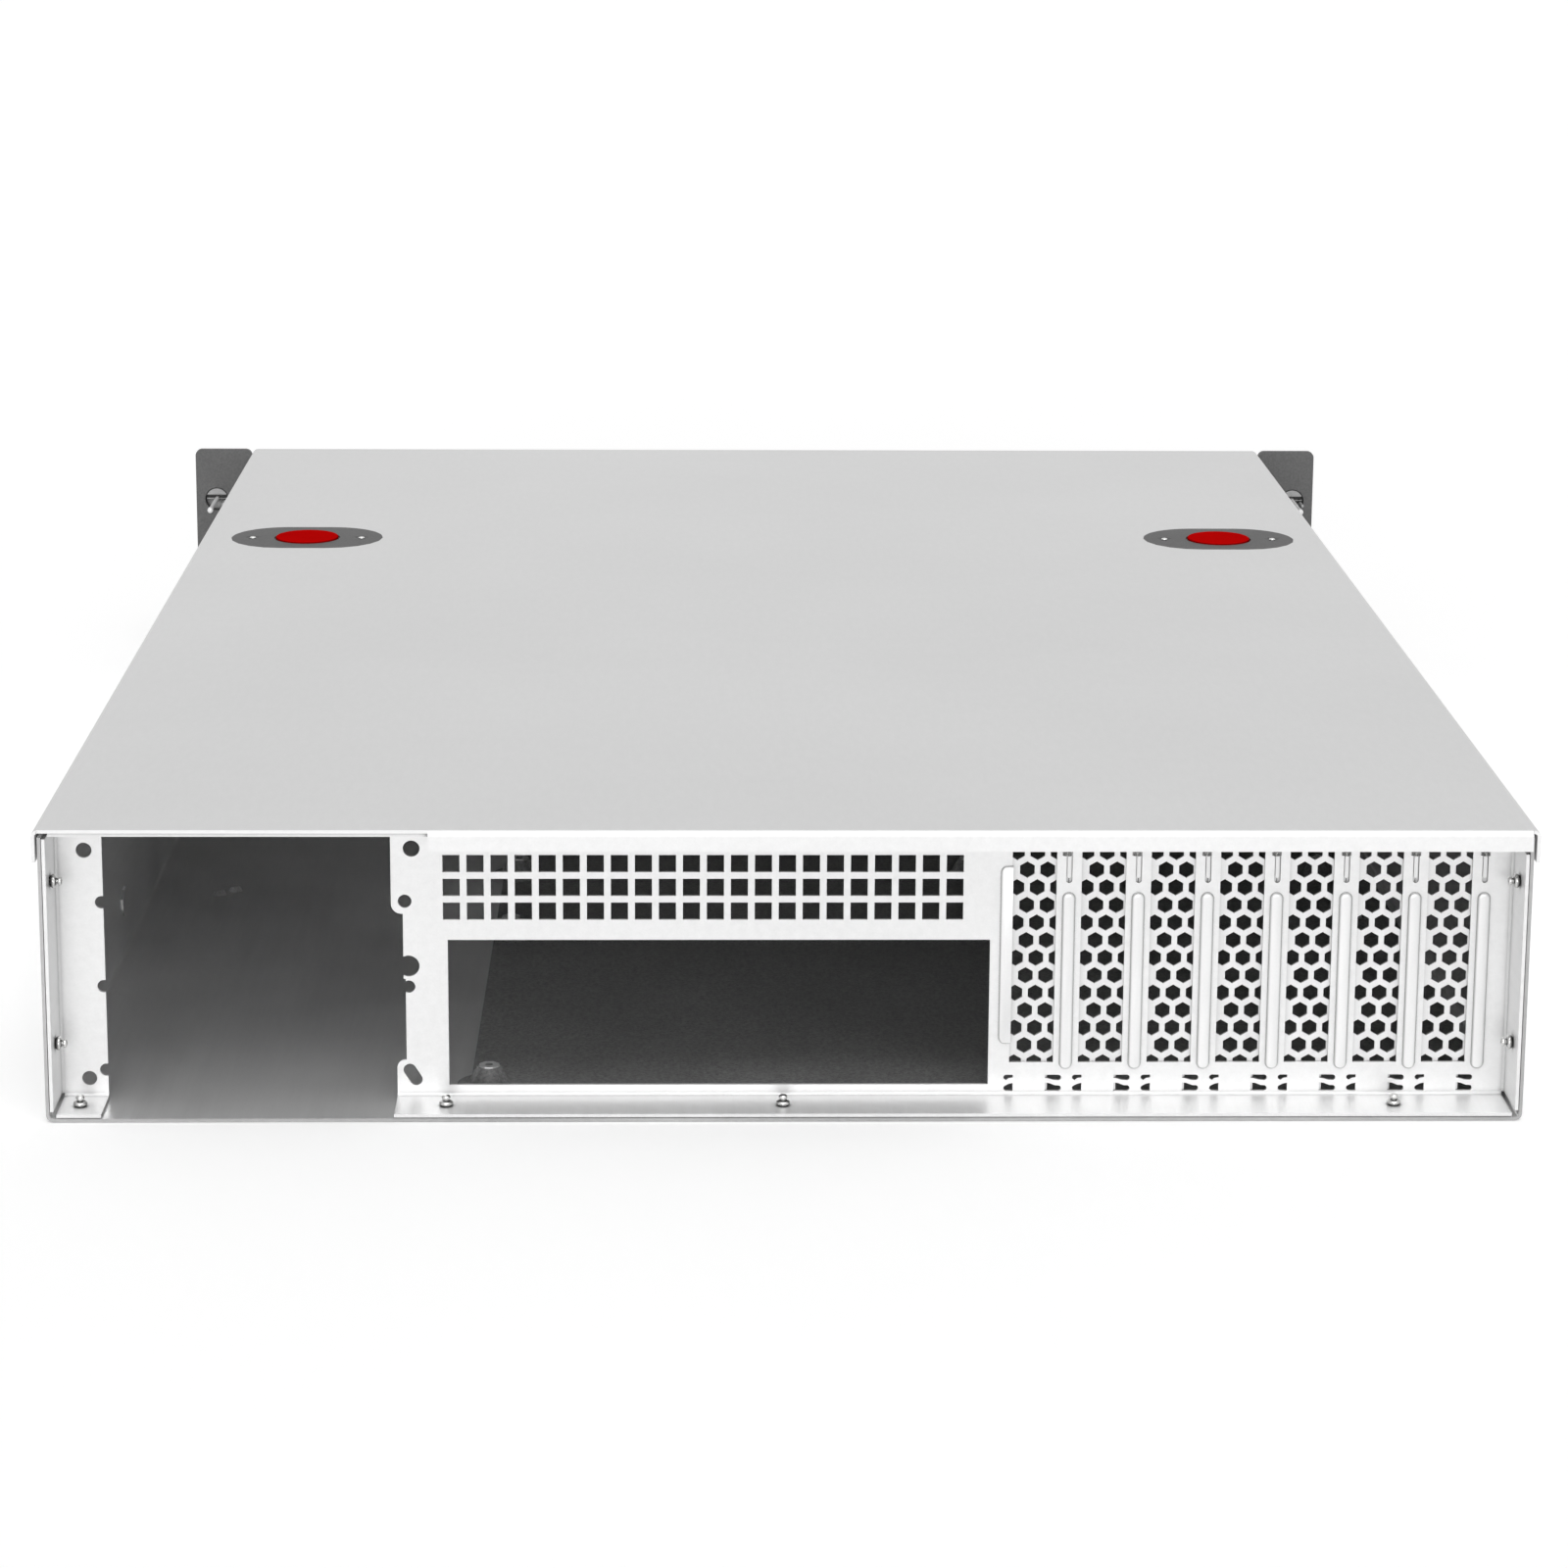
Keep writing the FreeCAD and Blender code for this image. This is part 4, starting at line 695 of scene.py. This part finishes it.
def panel_holes():
    """Every opening in the panel's face."""
    holes = [power_opening()]
    for x, z, radius in PSU_HOLES:
        holes.append(ring(x + OFF_GRID[0], z + OFF_GRID[1], radius, 40))
    holes.append(tilted_slot(*PSU_SLOT))
    holes.append(rect(APERTURE_RIGHT_X - APERTURE_WIDTH, APERTURE_RIGHT_X, APERTURE_BOTTOM, APERTURE_TOP))
    holes += vents()
    for number in range(1, SLOT_COUNT + 1):
        x = slot_x(number)
        holes.append(rect(x - WINDOW_HALF, x + WINDOW_HALF, WINDOW_BOTTOM, WINDOW_TOP))
        slit = x + RIB_OFFSET
        top = [(slit + SLIT_HALF, WINDOW_TOP), (slit - SLIT_HALF, WINDOW_TOP)]
        holes.append(arc(slit, SLIT_BOTTOM, SLIT_HALF, 180, 360, 8) + top)
        holes += lances(x)
    return holes


def slot_rib(build, x):
    """Embossed rib: stadium outlines that climb and close over its crown."""
    loops = []
    for inset, rise in RIB_SHAPE:
        radius = RIB_HALF - inset
        line = arc(x, RIB_TOP - RIB_HALF, radius, 0, 180, 16)
        line += arc(x, RIB_BOTTOM + RIB_HALF, radius, 180, 360, 16)
        loops.append([(a, PANEL_Y + rise, c) for a, c in line])
    build.stack(loops)


def end_rib(build):
    """Rib between the aperture and the first slot, straight on the side of the slot."""
    low_corner = END_RIB_BOTTOM + END_RIB_CORNER
    high_corner = END_RIB_TOP - END_RIB_CORNER
    line = arc(END_RIB_CORNER_X, low_corner, END_RIB_CORNER, 270, 360, 8)
    line += arc(END_RIB_CORNER_X, high_corner, END_RIB_CORNER, 0, 90, 8)
    line += [(END_RIB_LEFT, END_RIB_TOP), (END_RIB_LEFT, END_RIB_BOTTOM)]
    loops = []
    for inset, rise in END_RIB_SHAPE:
        loop = []
        for a, c in line:
            x = a if a == END_RIB_LEFT else a - inset
            z = min(max(c, END_RIB_BOTTOM + inset), END_RIB_TOP - inset)
            loop.append((x, PANEL_Y + rise, z))
        loops.append(loop)
    build.stack(loops)


def panel_ribs():
    """Every rib of the panel as one piece, in a metal of its own."""
    b = Build()
    for number in range(1, SLOT_COUNT + 1):
        slot_rib(b, slot_x(number) + RIB_OFFSET)
    end_rib(b)
    b.piece("panel_ribs", "galvanised_sheet", "chassis", 40, RIB_METAL)


def flange(build, outer, place, start, end):
    """Flange bent back from the face; outer is its outside, and place maps (a, y, along) to a point."""
    section = [(outer, FLANGE_END)]
    section += arc(outer - PANEL_FOLD, FOLD_Y, PANEL_FOLD, 0, -90, 8)
    section += arc(outer - PANEL_FOLD, FOLD_Y, PANEL_FOLD - PANEL_SHEET, -90, 0, 8)
    section += [(outer - PANEL_SHEET, FLANGE_END)]
    build.sweep(section, lambda a, y: place(a, y, start), lambda a, y: place(a, y, end))


def rear_panel():
    """Face with its openings, flanges all round and the shelf that the brackets are screwed to."""
    b = Build()
    face_edge = PANEL_EDGE - PANEL_FOLD
    face_top = PANEL_TOP - PANEL_FOLD
    low_top = SHELF_TOP - PANEL_FOLD
    outline = [
        (-face_edge, FACE_BOTTOM), (face_edge, FACE_BOTTOM), (face_edge, face_top),
        (SPLIT_X, face_top), (SPLIT_X, low_top), (-face_edge, low_top),
    ]
    b.plate(outline, panel_holes(), lambda a, c, d: (a, PANEL_Y - d, c), PANEL_SHEET)
    flange(b, PANEL_EDGE, lambda a, y, z: (a, y, z), FACE_BOTTOM, face_top)
    flange(b, PANEL_EDGE, lambda a, y, z: (-a, y, z), FACE_BOTTOM, low_top)
    flange(b, PANEL_TOP, lambda a, y, x: (x, y, a), SPLIT_X, face_edge)
    for start, end in ((-face_edge, PSU_INNER_X - PSU_FOOT), (PSU_OUTER_X, face_edge)):
        flange(b, PANEL_EDGE, lambda a, y, x: (x, y, PANEL_EDGE + PANEL_UNDERSIDE - a), start, end)
    shelf = [(SHELF_END, SHELF_TOP)]
    shelf += arc(FOLD_Y, low_top, PANEL_FOLD, 90, 180, 8)
    shelf += arc(FOLD_Y, low_top, PANEL_FOLD - PANEL_SHEET, 180, 90, 8)
    shelf += [(SHELF_END, SHELF_TOP - PANEL_SHEET)]
    b.sweep(shelf, at_x(-face_edge), at_x(SPLIT_X - 0.2))
    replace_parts(b.piece("recessed_panel", "galvanised_sheet", "chassis", 40), "rear_panel")


panel_ribs()
rear_panel()

# ---------------------------------------------------------------- screws of the brackets
SCREW_OFFSET = -8.9             # from a slot's middle
SCREW_REACH = 6.2               # out from the panel's face
SCREW_TIP = 77.0                # lowest point
THREAD_TURNS = 10
THREAD_PITCH = 0.5
THREAD_RADIUS = 1.5
THREAD_ROOT = 1.22


def bracket_screws():
    """Screws down through the brackets' feet, with their threaded tips under the shelf."""
    profile = [(0, SCREW_TIP), (0.7, SCREW_TIP)]
    for turn in range(THREAD_TURNS):
        level = SCREW_TIP + 0.3 + turn * THREAD_PITCH
        profile += [(THREAD_RADIUS, level), (THREAD_ROOT, level + THREAD_PITCH / 2)]
    head = SHELF_TOP + BRACKET_SHEET
    profile += [(THREAD_RADIUS, head), (2.9, head), (2.9, head + 1.0), (2.6, head + 1.45)]
    profile += [(1.9, head + 1.75), (0, head + 1.8)]
    b = Build()
    for number in range(1, SLOT_COUNT + 1):
        b.lathe(profile, (slot_x(number) + SCREW_OFFSET, PANEL_Y + SCREW_REACH, 0), (0, 0, 1), 28)
    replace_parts(b.piece("bracket_screws", "zinc_fastener", "chassis"), "slot_cover_screws")


bracket_screws()

# ---------------------------------------------------------------- rack ears and their screws
EAR_OUTER_X = box_mm("rack_ear_right")[1].x
EAR_SHEET = 2.0
Y_FRONT = box_mm("rack_ear_right")[0].y
Y_EAR_BACK = Y_FRONT + EAR_SHEET
EAR_TOP = 88.0
EAR_CORNER = 2.8
EAR_INNER_X = 219.0             # the ear is wider above the arm, where it reaches in to the arm's outside
RACK_HOLE_X = 232.55
RACK_HOLES_Z = {"lower": 21.775, "upper": 66.225}
RACK_HOLE_RADIUS = 5.0
ARM_INSIDE = 215.0              # the arm lies on the tray's wall
ARM_OUTSIDE = ARM_INSIDE + EAR_SHEET
ARM_END = Y_EAR_BACK + 30
ARM_TOP = 77.0
ARM_BEND = 3.5                  # outside radius
ARM_LAP = 0.2                   # the bend runs this far into the ear
EAR_SCREWS_Z = (16.0, 62.0)
EAR_SCREW_Y = Y_EAR_BACK + 12.0
EAR_SCREW_HEAD = 3.7
EAR_SCREW_FACE = 217.08         # the heads are sunk almost flush in the arm
EAR_SCREW_RECESS = 0.9


def rack_ear(side, word):
    """Ear in front of the rack's post, with an arm bent back along the case."""
    b = Build()
    corner_x = EAR_OUTER_X - EAR_CORNER
    corner_z = EAR_TOP - EAR_CORNER
    outline = [(EAR_INNER_X, 0.0)]
    outline += arc(corner_x, EAR_CORNER, EAR_CORNER, -90, 0, 10)
    outline += arc(corner_x, corner_z, EAR_CORNER, 0, 90, 10)
    outline += arc(ARM_OUTSIDE + EAR_CORNER, corner_z, EAR_CORNER, 90, 180, 10)
    outline += [(ARM_OUTSIDE, ARM_TOP), (EAR_INNER_X, ARM_TOP)]
    holes = [ring(RACK_HOLE_X, z, RACK_HOLE_RADIUS, 56) for z in RACK_HOLES_Z.values()]
    b.plate(outline, holes, lambda a, c, d: (side * a, Y_FRONT + d, c), EAR_SHEET)
    bend_x = ARM_INSIDE + ARM_BEND
    bend_y = Y_FRONT + ARM_BEND
    section = [(ARM_OUTSIDE, ARM_END), (ARM_INSIDE, ARM_END)]
    section += arc(bend_x, bend_y, ARM_BEND, 180, 270, 10)
    section += [(EAR_INNER_X + ARM_LAP, Y_FRONT), (EAR_INNER_X + ARM_LAP, Y_EAR_BACK)]
    section += arc(bend_x, bend_y, ARM_BEND - EAR_SHEET, 270, 180, 10)
    b.sweep(section, lambda a, y: (side * a, y, 0.0), lambda a, y: (side * a, y, ARM_TOP))
    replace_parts(b.piece("mounting_ear_" + word, "dark_paint", "chassis"), "rack_ear_" + word)


def cross_recess(half_width, reach):
    """Outline of a screw's recess; its second half is the first, turned half round."""
    w = half_width
    r = reach
    lower = [(-w, -r), (w, -r), (w, -w), (r, -w), (r, w), (w, w)]
    return lower + [(-a, -c) for a, c in lower]


def ear_screws():
    """Countersunk screws that hold the ears' arms."""
    b = Build()
    recess = cross_recess(0.35, 1.5)
    shank = [(0, 0), (EAR_SCREW_HEAD, 0), (2.0, 1.9), (2.0, 4.4), (0, 4.6)]
    for side, _ in SIDES:
        face = side * EAR_SCREW_FACE
        for z in EAR_SCREWS_Z:
            b.plate(
                ring(0, 0, EAR_SCREW_HEAD, 48), [recess],
                lambda a, c, d: (face - side * d, EAR_SCREW_Y + a, z + c), EAR_SCREW_RECESS,
            )
            shank_x = side * (EAR_SCREW_FACE - EAR_SCREW_RECESS)
            b.lathe(shank, (shank_x, EAR_SCREW_Y, z), (-side, 0, 0), 36)
    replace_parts(b.piece("ear_screw_heads", "zinc_fastener", "chassis"), "ear_screws")


for side, word in SIDES:
    rack_ear(side, word)
ear_screws()

# ---------------------------------------------------------------- captive fasteners in the ears
THUMB_LENGTH = 9.0
THUMB_FLUTES = 15
FLUTE_DEPTH = 0.035             # as a share of the radius
PLUG_RADIUS = 4.6
PLUG_LEVEL = 1.9                # the half-round plug's flat side stands this far over the middle
PLUG_GAP = 0.3                  # it starts this far behind the head and ends this far before the ear's back
PIN_RADIUS = 0.95
PIN_TIP_RADIUS = 1.2
PIN_LENGTH = 27.0
PRONG_LENGTH = 8.0
PRONG_RADIUS = 0.75
PRONG_OFFSET = (-3.4, -1.0)     # from the pin


def fluted(turn, radius):
    """Shape of the thumb head's rim; only its outermost part is fluted."""
    wave = math.cos(turn * THUMB_FLUTES)
    return 1 + FLUTE_DEPTH * math.copysign(abs(wave) ** 0.5, wave) * (radius > 6)


def rack_fastener(side, word, level, z):
    """Fluted thumb head before the ear; half-round plug, thin pin and short prong behind it."""
    node = "rack_fastener_%s_%s" % (word, level)
    x = side * RACK_HOLE_X
    front = box_mm(node)[0].y
    back = front + THUMB_LENGTH
    plug_front = back + PLUG_GAP
    plug_back = Y_EAR_BACK - PLUG_GAP
    b = Build()
    head = [(0, front + 0.5), (4.6, front + 0.5), (4.9, front + 0.1), (5.3, front), (6.0, front + 0.3)]
    head += [(6.7, front + 1.0), (6.7, back - 1.2), (6.4, back - 0.4), (5.9, back), (0, back)]
    b.lathe(head, (x, 0, z), (0, 1, 0), 120, fluted)
    disc = [(0, back - 0.2), (PLUG_RADIUS, back - 0.2), (PLUG_RADIUS, plug_front), (0, plug_front)]
    b.lathe(disc, (x, 0, z), (0, 1, 0), 48)
    rise = math.degrees(math.asin(PLUG_LEVEL / PLUG_RADIUS))
    half_round = arc(x, z, PLUG_RADIUS, rise, 180 - rise, 24)
    b.sweep(half_round, at_y(plug_front - 0.1), at_y(plug_back))
    b.sweep(rect(x - 4.3, x + 4.3, z + 0.05, z + 0.5), at_y(plug_front - 0.1), at_y(plug_back))

    tip = plug_back + PIN_LENGTH
    root = plug_front + 0.02
    pin = [(0, root), (PIN_RADIUS, root), (PIN_RADIUS, tip - 3.0), (PIN_TIP_RADIUS, tip - 2.6)]
    pin += [(PIN_TIP_RADIUS, tip - 0.9), (1.05, tip - 0.4), (0.6, tip - 0.08), (0, tip)]
    pin_build = Build()
    pin_build.lathe(pin, (x, 0, z), (0, 1, 0), 28)
    pin_build.piece("pin_" + node, "zinc_fastener", node, 35, PIN_METAL)

    tip = plug_back + PRONG_LENGTH
    root = plug_front - 0.1
    prong = [(0, root), (PRONG_RADIUS, root), (PRONG_RADIUS, tip - 0.7)]
    prong += [(0.6, tip - 0.3), (0.3, tip - 0.05), (0, tip)]
    b.lathe(prong, (x + PRONG_OFFSET[0], 0, z + PRONG_OFFSET[1]), (0, 1, 0), 20)
    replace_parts(b.piece("thumb_" + node, "zinc_fastener", node, 35, THUMB_METAL), node)


for side, word in SIDES:
    for level, z in RACK_HOLES_Z.items():
        rack_fastener(side, word, level, z)

# ---------------------------------------------------------------- latches in the cover
LATCH_X = 176.0
LATCH_Y = Y_REAR - 427.0
LATCH_LENGTH = 57.8
LATCH_WIDTH = 40.8
LATCH_RIVET_OFFSET = 20.9
LATCH_RIVET_HOLE = 3.0
BUTTON_RADIUS = 12.0
BUTTON_PLAY = 0.5
BUTTON_FLANGE = 13.6


def latch_middle(word):
    """Middle of a latch, seen from above."""
    low, high = box_mm("latch_plate_" + word)
    return (low.x + high.x) / 2, (low.y + high.y) / 2


def latch_plate(word):
    """Plate round the button, dished where its rivets sit."""
    node = "latch_plate_" + word
    low, high = box_mm(node)
    cx, cy = latch_middle(word)
    top = high.z
    b = Build()
    holes = [ring(cx, cy, BUTTON_RADIUS + BUTTON_PLAY, 96)]
    for offset in (LATCH_RIVET_OFFSET, -LATCH_RIVET_OFFSET):
        holes.append(ring(cx + offset, cy, LATCH_RIVET_HOLE, 40))
    outline = stadium(cx, cy, LATCH_LENGTH, LATCH_WIDTH, 40)
    b.plate(outline, holes, lambda a, c, d: (a, c, low.z + d), top - low.z)
    dish = [(LATCH_RIVET_HOLE, low.z), (LATCH_RIVET_HOLE, top), (2.7, top - 0.06), (2.0, top - 0.3)]
    dish += [(1.25, top - 0.36), (1.25, low.z), (LATCH_RIVET_HOLE, low.z)]
    for offset in (LATCH_RIVET_OFFSET, -LATCH_RIVET_OFFSET):
        b.lathe(dish, (cx + offset, cy, 0), (0, 0, 1), 40)
    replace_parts(b.piece("latch_surround_" + word, "dark_plate", "cover"), node)


def release_button(word):
    """Red button with a rounded rim, and the flange that keeps it under the cover."""
    node = "release_button_" + word
    low, high = box_mm(node)
    bottom = low.z
    crown = high.z
    shoulder = bottom + 1.0
    profile = [(0, bottom), (BUTTON_FLANGE, bottom), (BUTTON_FLANGE, shoulder), (BUTTON_RADIUS, shoulder)]
    profile += [(BUTTON_RADIUS, crown - 0.75), (11.93, crown - 0.45), (11.75, crown - 0.22)]
    profile += [(11.45, crown - 0.08), (11.0, crown - 0.02), (9.0, crown), (0, crown)]
    cx, cy = latch_middle(word)
    b = Build()
    b.lathe(profile, (cx, cy, 0), (0, 0, 1), 96)
    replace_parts(b.piece("red_button_" + word, "red_plastic", node), node)


def latch_rivet_heads():
    """Rivets through plate, cover and spring, with low domes in the plates' dishes."""
    bottom = box_mm("latch_rivets")[0].z
    dome = [(0, bottom), (2.0, bottom), (2.0, bottom + 0.7), (1.2, bottom + 0.7), (1.2, COVER_TOP - 0.36)]
    dome += [(1.22, COVER_TOP - 0.36), (1.22, COVER_TOP - 0.1), (1.0, COVER_TOP + 0.14)]
    dome += [(0.6, COVER_TOP + 0.27), (0, COVER_TOP + 0.32)]
    b = Build()
    for side, _ in SIDES:
        for offset in (LATCH_RIVET_OFFSET, -LATCH_RIVET_OFFSET):
            b.lathe(dome, (side * LATCH_X + offset, LATCH_Y, 0), (0, 0, 1), 28)
    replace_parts(b.piece("latch_rivet_heads", "zinc_fastener", "cover"), "latch_rivets")


for _, word in SIDES:
    latch_plate(word)
    release_button(word)
latch_rivet_heads()

# ---------------------------------------------------------------- leaf springs under the buttons
SPRING_SHEET = 0.5
SPRING_HALF = 5.0               # half of the strip's width
SPRING_REACH = 24.9             # from the button's middle to the strip's ends
SPRING_DIP = 1.1                # the middle lies this much lower than the ends
SPRING_LOW = 14.4               # the slopes run from here to SPRING_HIGH
SPRING_HIGH = 16.5
TONGUE_SLOPE = 8.0              # where the tongue starts to go down, in front of the button's middle
TONGUE_SHELF = 13.0             # where it runs level again
HOOK_HALF = 6.0
HOOK_RISE = 1.3


def leaf_spring(word):
    """The ends stay on the cover; the middle and the hooked tongue go down with the button."""
    node = "latch_spring_" + word
    button = "release_button_" + word
    low, high = box_mm(node)
    cx = (low.x + high.x) / 2
    dip = high.z - SPRING_DIP
    shelf = low.z + SPRING_SHEET
    hook = shelf + HOOK_RISE
    strip_front = LATCH_Y - SPRING_HALF

    def across(a, c, d):
        return (a, strip_front + d, c)

    b = Build()
    middle = rect(cx - SPRING_LOW, cx + SPRING_LOW, dip - SPRING_SHEET, dip)
    b.plate(middle, [], across, 2 * SPRING_HALF)
    tongue = [(strip_front, dip), (LATCH_Y - TONGUE_SLOPE, dip), (LATCH_Y - TONGUE_SHELF, shelf)]
    tongue += [(low.y + SPRING_SHEET, shelf), (low.y + SPRING_SHEET, hook), (low.y, hook), (low.y, low.z)]
    tongue += [(LATCH_Y - TONGUE_SHELF - 0.3, low.z), (LATCH_Y - TONGUE_SLOPE - 0.3, dip - SPRING_SHEET)]
    tongue += [(strip_front, dip - SPRING_SHEET)]
    b.plate(tongue, [], lambda a, c, d: (cx - HOOK_HALF + d, a, c), 2 * HOOK_HALF)
    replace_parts(b.piece("spring_tongue_" + word, "spring_steel", button), node)

    for way, place in ((1, "outer"), (-1, "inner")):
        b = Build()
        low_x = cx + way * SPRING_LOW
        high_x = cx + way * SPRING_HIGH
        slope = [(low_x, dip), (high_x, high.z)]
        slope += [(high_x, high.z - SPRING_SHEET), (low_x, dip - SPRING_SHEET)]
        b.plate(slope, [], across, 2 * SPRING_HALF)
        ends = sorted((high_x, cx + way * SPRING_REACH))
        pad = rect(ends[0], ends[1], strip_front, LATCH_Y + SPRING_HALF)
        hole = ring(cx + way * LATCH_RIVET_OFFSET, LATCH_Y, 1.25, 24)
        b.plate(pad, [hole], lambda a, c, d: (a, c, high.z - SPRING_SHEET + d), SPRING_SHEET)
        leaf = b.piece("spring_end_%s_%s" % (word, place), "spring_steel")
        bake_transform(leaf)
        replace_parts(leaf, node)


for _, word in SIDES:
    leaf_spring(word)

# ---------------------------------------------------------------- floor, light and camera, in metres
FLOOR_REACH = 30.0
FLOOR_Z = -0.0002


def pale_floor():
    """Wide floor that the camera sees as white, with the case's shadow on it."""
    look = Shader("pale_floor")
    look.shade((1.0, 1.0, 1.0), look.spread(look.noise(3, detail=2.0), 0.995, 1.005))
    seen = look.add("ShaderNodeLightPath").outputs["Is Camera Ray"]
    look.link(look.spread(seen, 0.0, 0.1, 0.0, 1.0), look.main.inputs["Emission Strength"])
    look.set(Emission_Color=(1, 1, 1, 1), Roughness=0.9, Specular_IOR_Level=0.1)
    mesh = bpy.data.meshes.new("floor")
    corners = rect(-FLOOR_REACH, FLOOR_REACH, -FLOOR_REACH, FLOOR_REACH)
    mesh.from_pydata([(x, y, FLOOR_Z) for x, y in corners], [], [[0, 1, 2, 3]])
    mesh.materials.append(look.material)
    floor = bpy.data.objects.new("floor", mesh)
    scene.collection.objects.link(floor)


def studio_world(strength):
    """Soft light from all sides; the camera, mirror-like faces and glass see plain white."""
    world = bpy.data.worlds.new("studio")
    world.use_nodes = True
    tree = Nodes(world.node_tree)
    mix = tree.add("ShaderNodeMixShader")
    for place, level in ((1, strength), (2, 1.0)):
        light = tree.add("ShaderNodeBackground")
        light.inputs["Color"].default_value = (1, 1, 1, 1)
        light.inputs["Strength"].default_value = level
        tree.link(light.outputs[0], mix.inputs[place])
    path = tree.add("ShaderNodeLightPath")
    seen = path.outputs["Is Camera Ray"]
    for ray in ("Is Glossy Ray", "Is Transmission Ray"):
        either = tree.add("ShaderNodeMath", operation="MAXIMUM")
        tree.link(seen, either.inputs[0])
        tree.link(path.outputs[ray], either.inputs[1])
        seen = either.outputs[0]
    tree.link(seen, mix.inputs[0])
    tree.link(mix.outputs[0], tree.add("ShaderNodeOutputWorld").inputs[0])
    scene.world = world


def lamp(name, azimuth, elevation, strength, angle):
    """Soft lamp; azimuth 0 stands behind the case's rear, positive towards +X."""
    data = bpy.data.lights.new(name, "SUN")
    data.energy = strength
    data.angle = math.radians(angle)
    obj = bpy.data.objects.new(name, data)
    scene.collection.objects.link(obj)
    a = math.radians(azimuth)
    e = math.radians(elevation)
    towards = Vector((math.sin(a) * math.cos(e), math.cos(a) * math.cos(e), math.sin(e)))
    obj.rotation_mode = "QUATERNION"
    obj.rotation_quaternion = towards.to_track_quat("Z", "Y")


def rear_camera(place, yaw, pitch, roll):
    """Camera behind the rear and above it; the angles are in radians."""
    data = bpy.data.cameras.new("camera")
    data.lens = 95.8
    data.shift_y = -0.1
    data.sensor_width = 36.0
    data.clip_start = 0.05
    data.clip_end = 100.0
    camera = bpy.data.objects.new("camera", data)
    scene.collection.objects.link(camera)
    forward = Vector((math.sin(yaw) * math.cos(pitch), -math.cos(yaw) * math.cos(pitch), -math.sin(pitch)))
    right = forward.cross(Vector((0, 0, 1))).normalized()
    up = right.cross(forward)
    across = right * math.cos(roll) + up * math.sin(roll)
    above = -right * math.sin(roll) + up * math.cos(roll)
    turn = Matrix((across, above, -forward)).transposed()
    camera.rotation_mode = "QUATERNION"
    camera.rotation_quaternion = turn.to_quaternion()
    camera.location = place
    scene.camera = camera


pale_floor()
studio_world(0.5)
lamp("key", azimuth=4, elevation=5, strength=1.0, angle=30)
lamp("top", azimuth=-15, elevation=70, strength=1.25, angle=50)
rear_camera((0.0282, 1.4695, 0.4042), yaw=-0.0229, pitch=0.2187, roll=0.0062)
scene.view_settings.view_transform = "Standard"
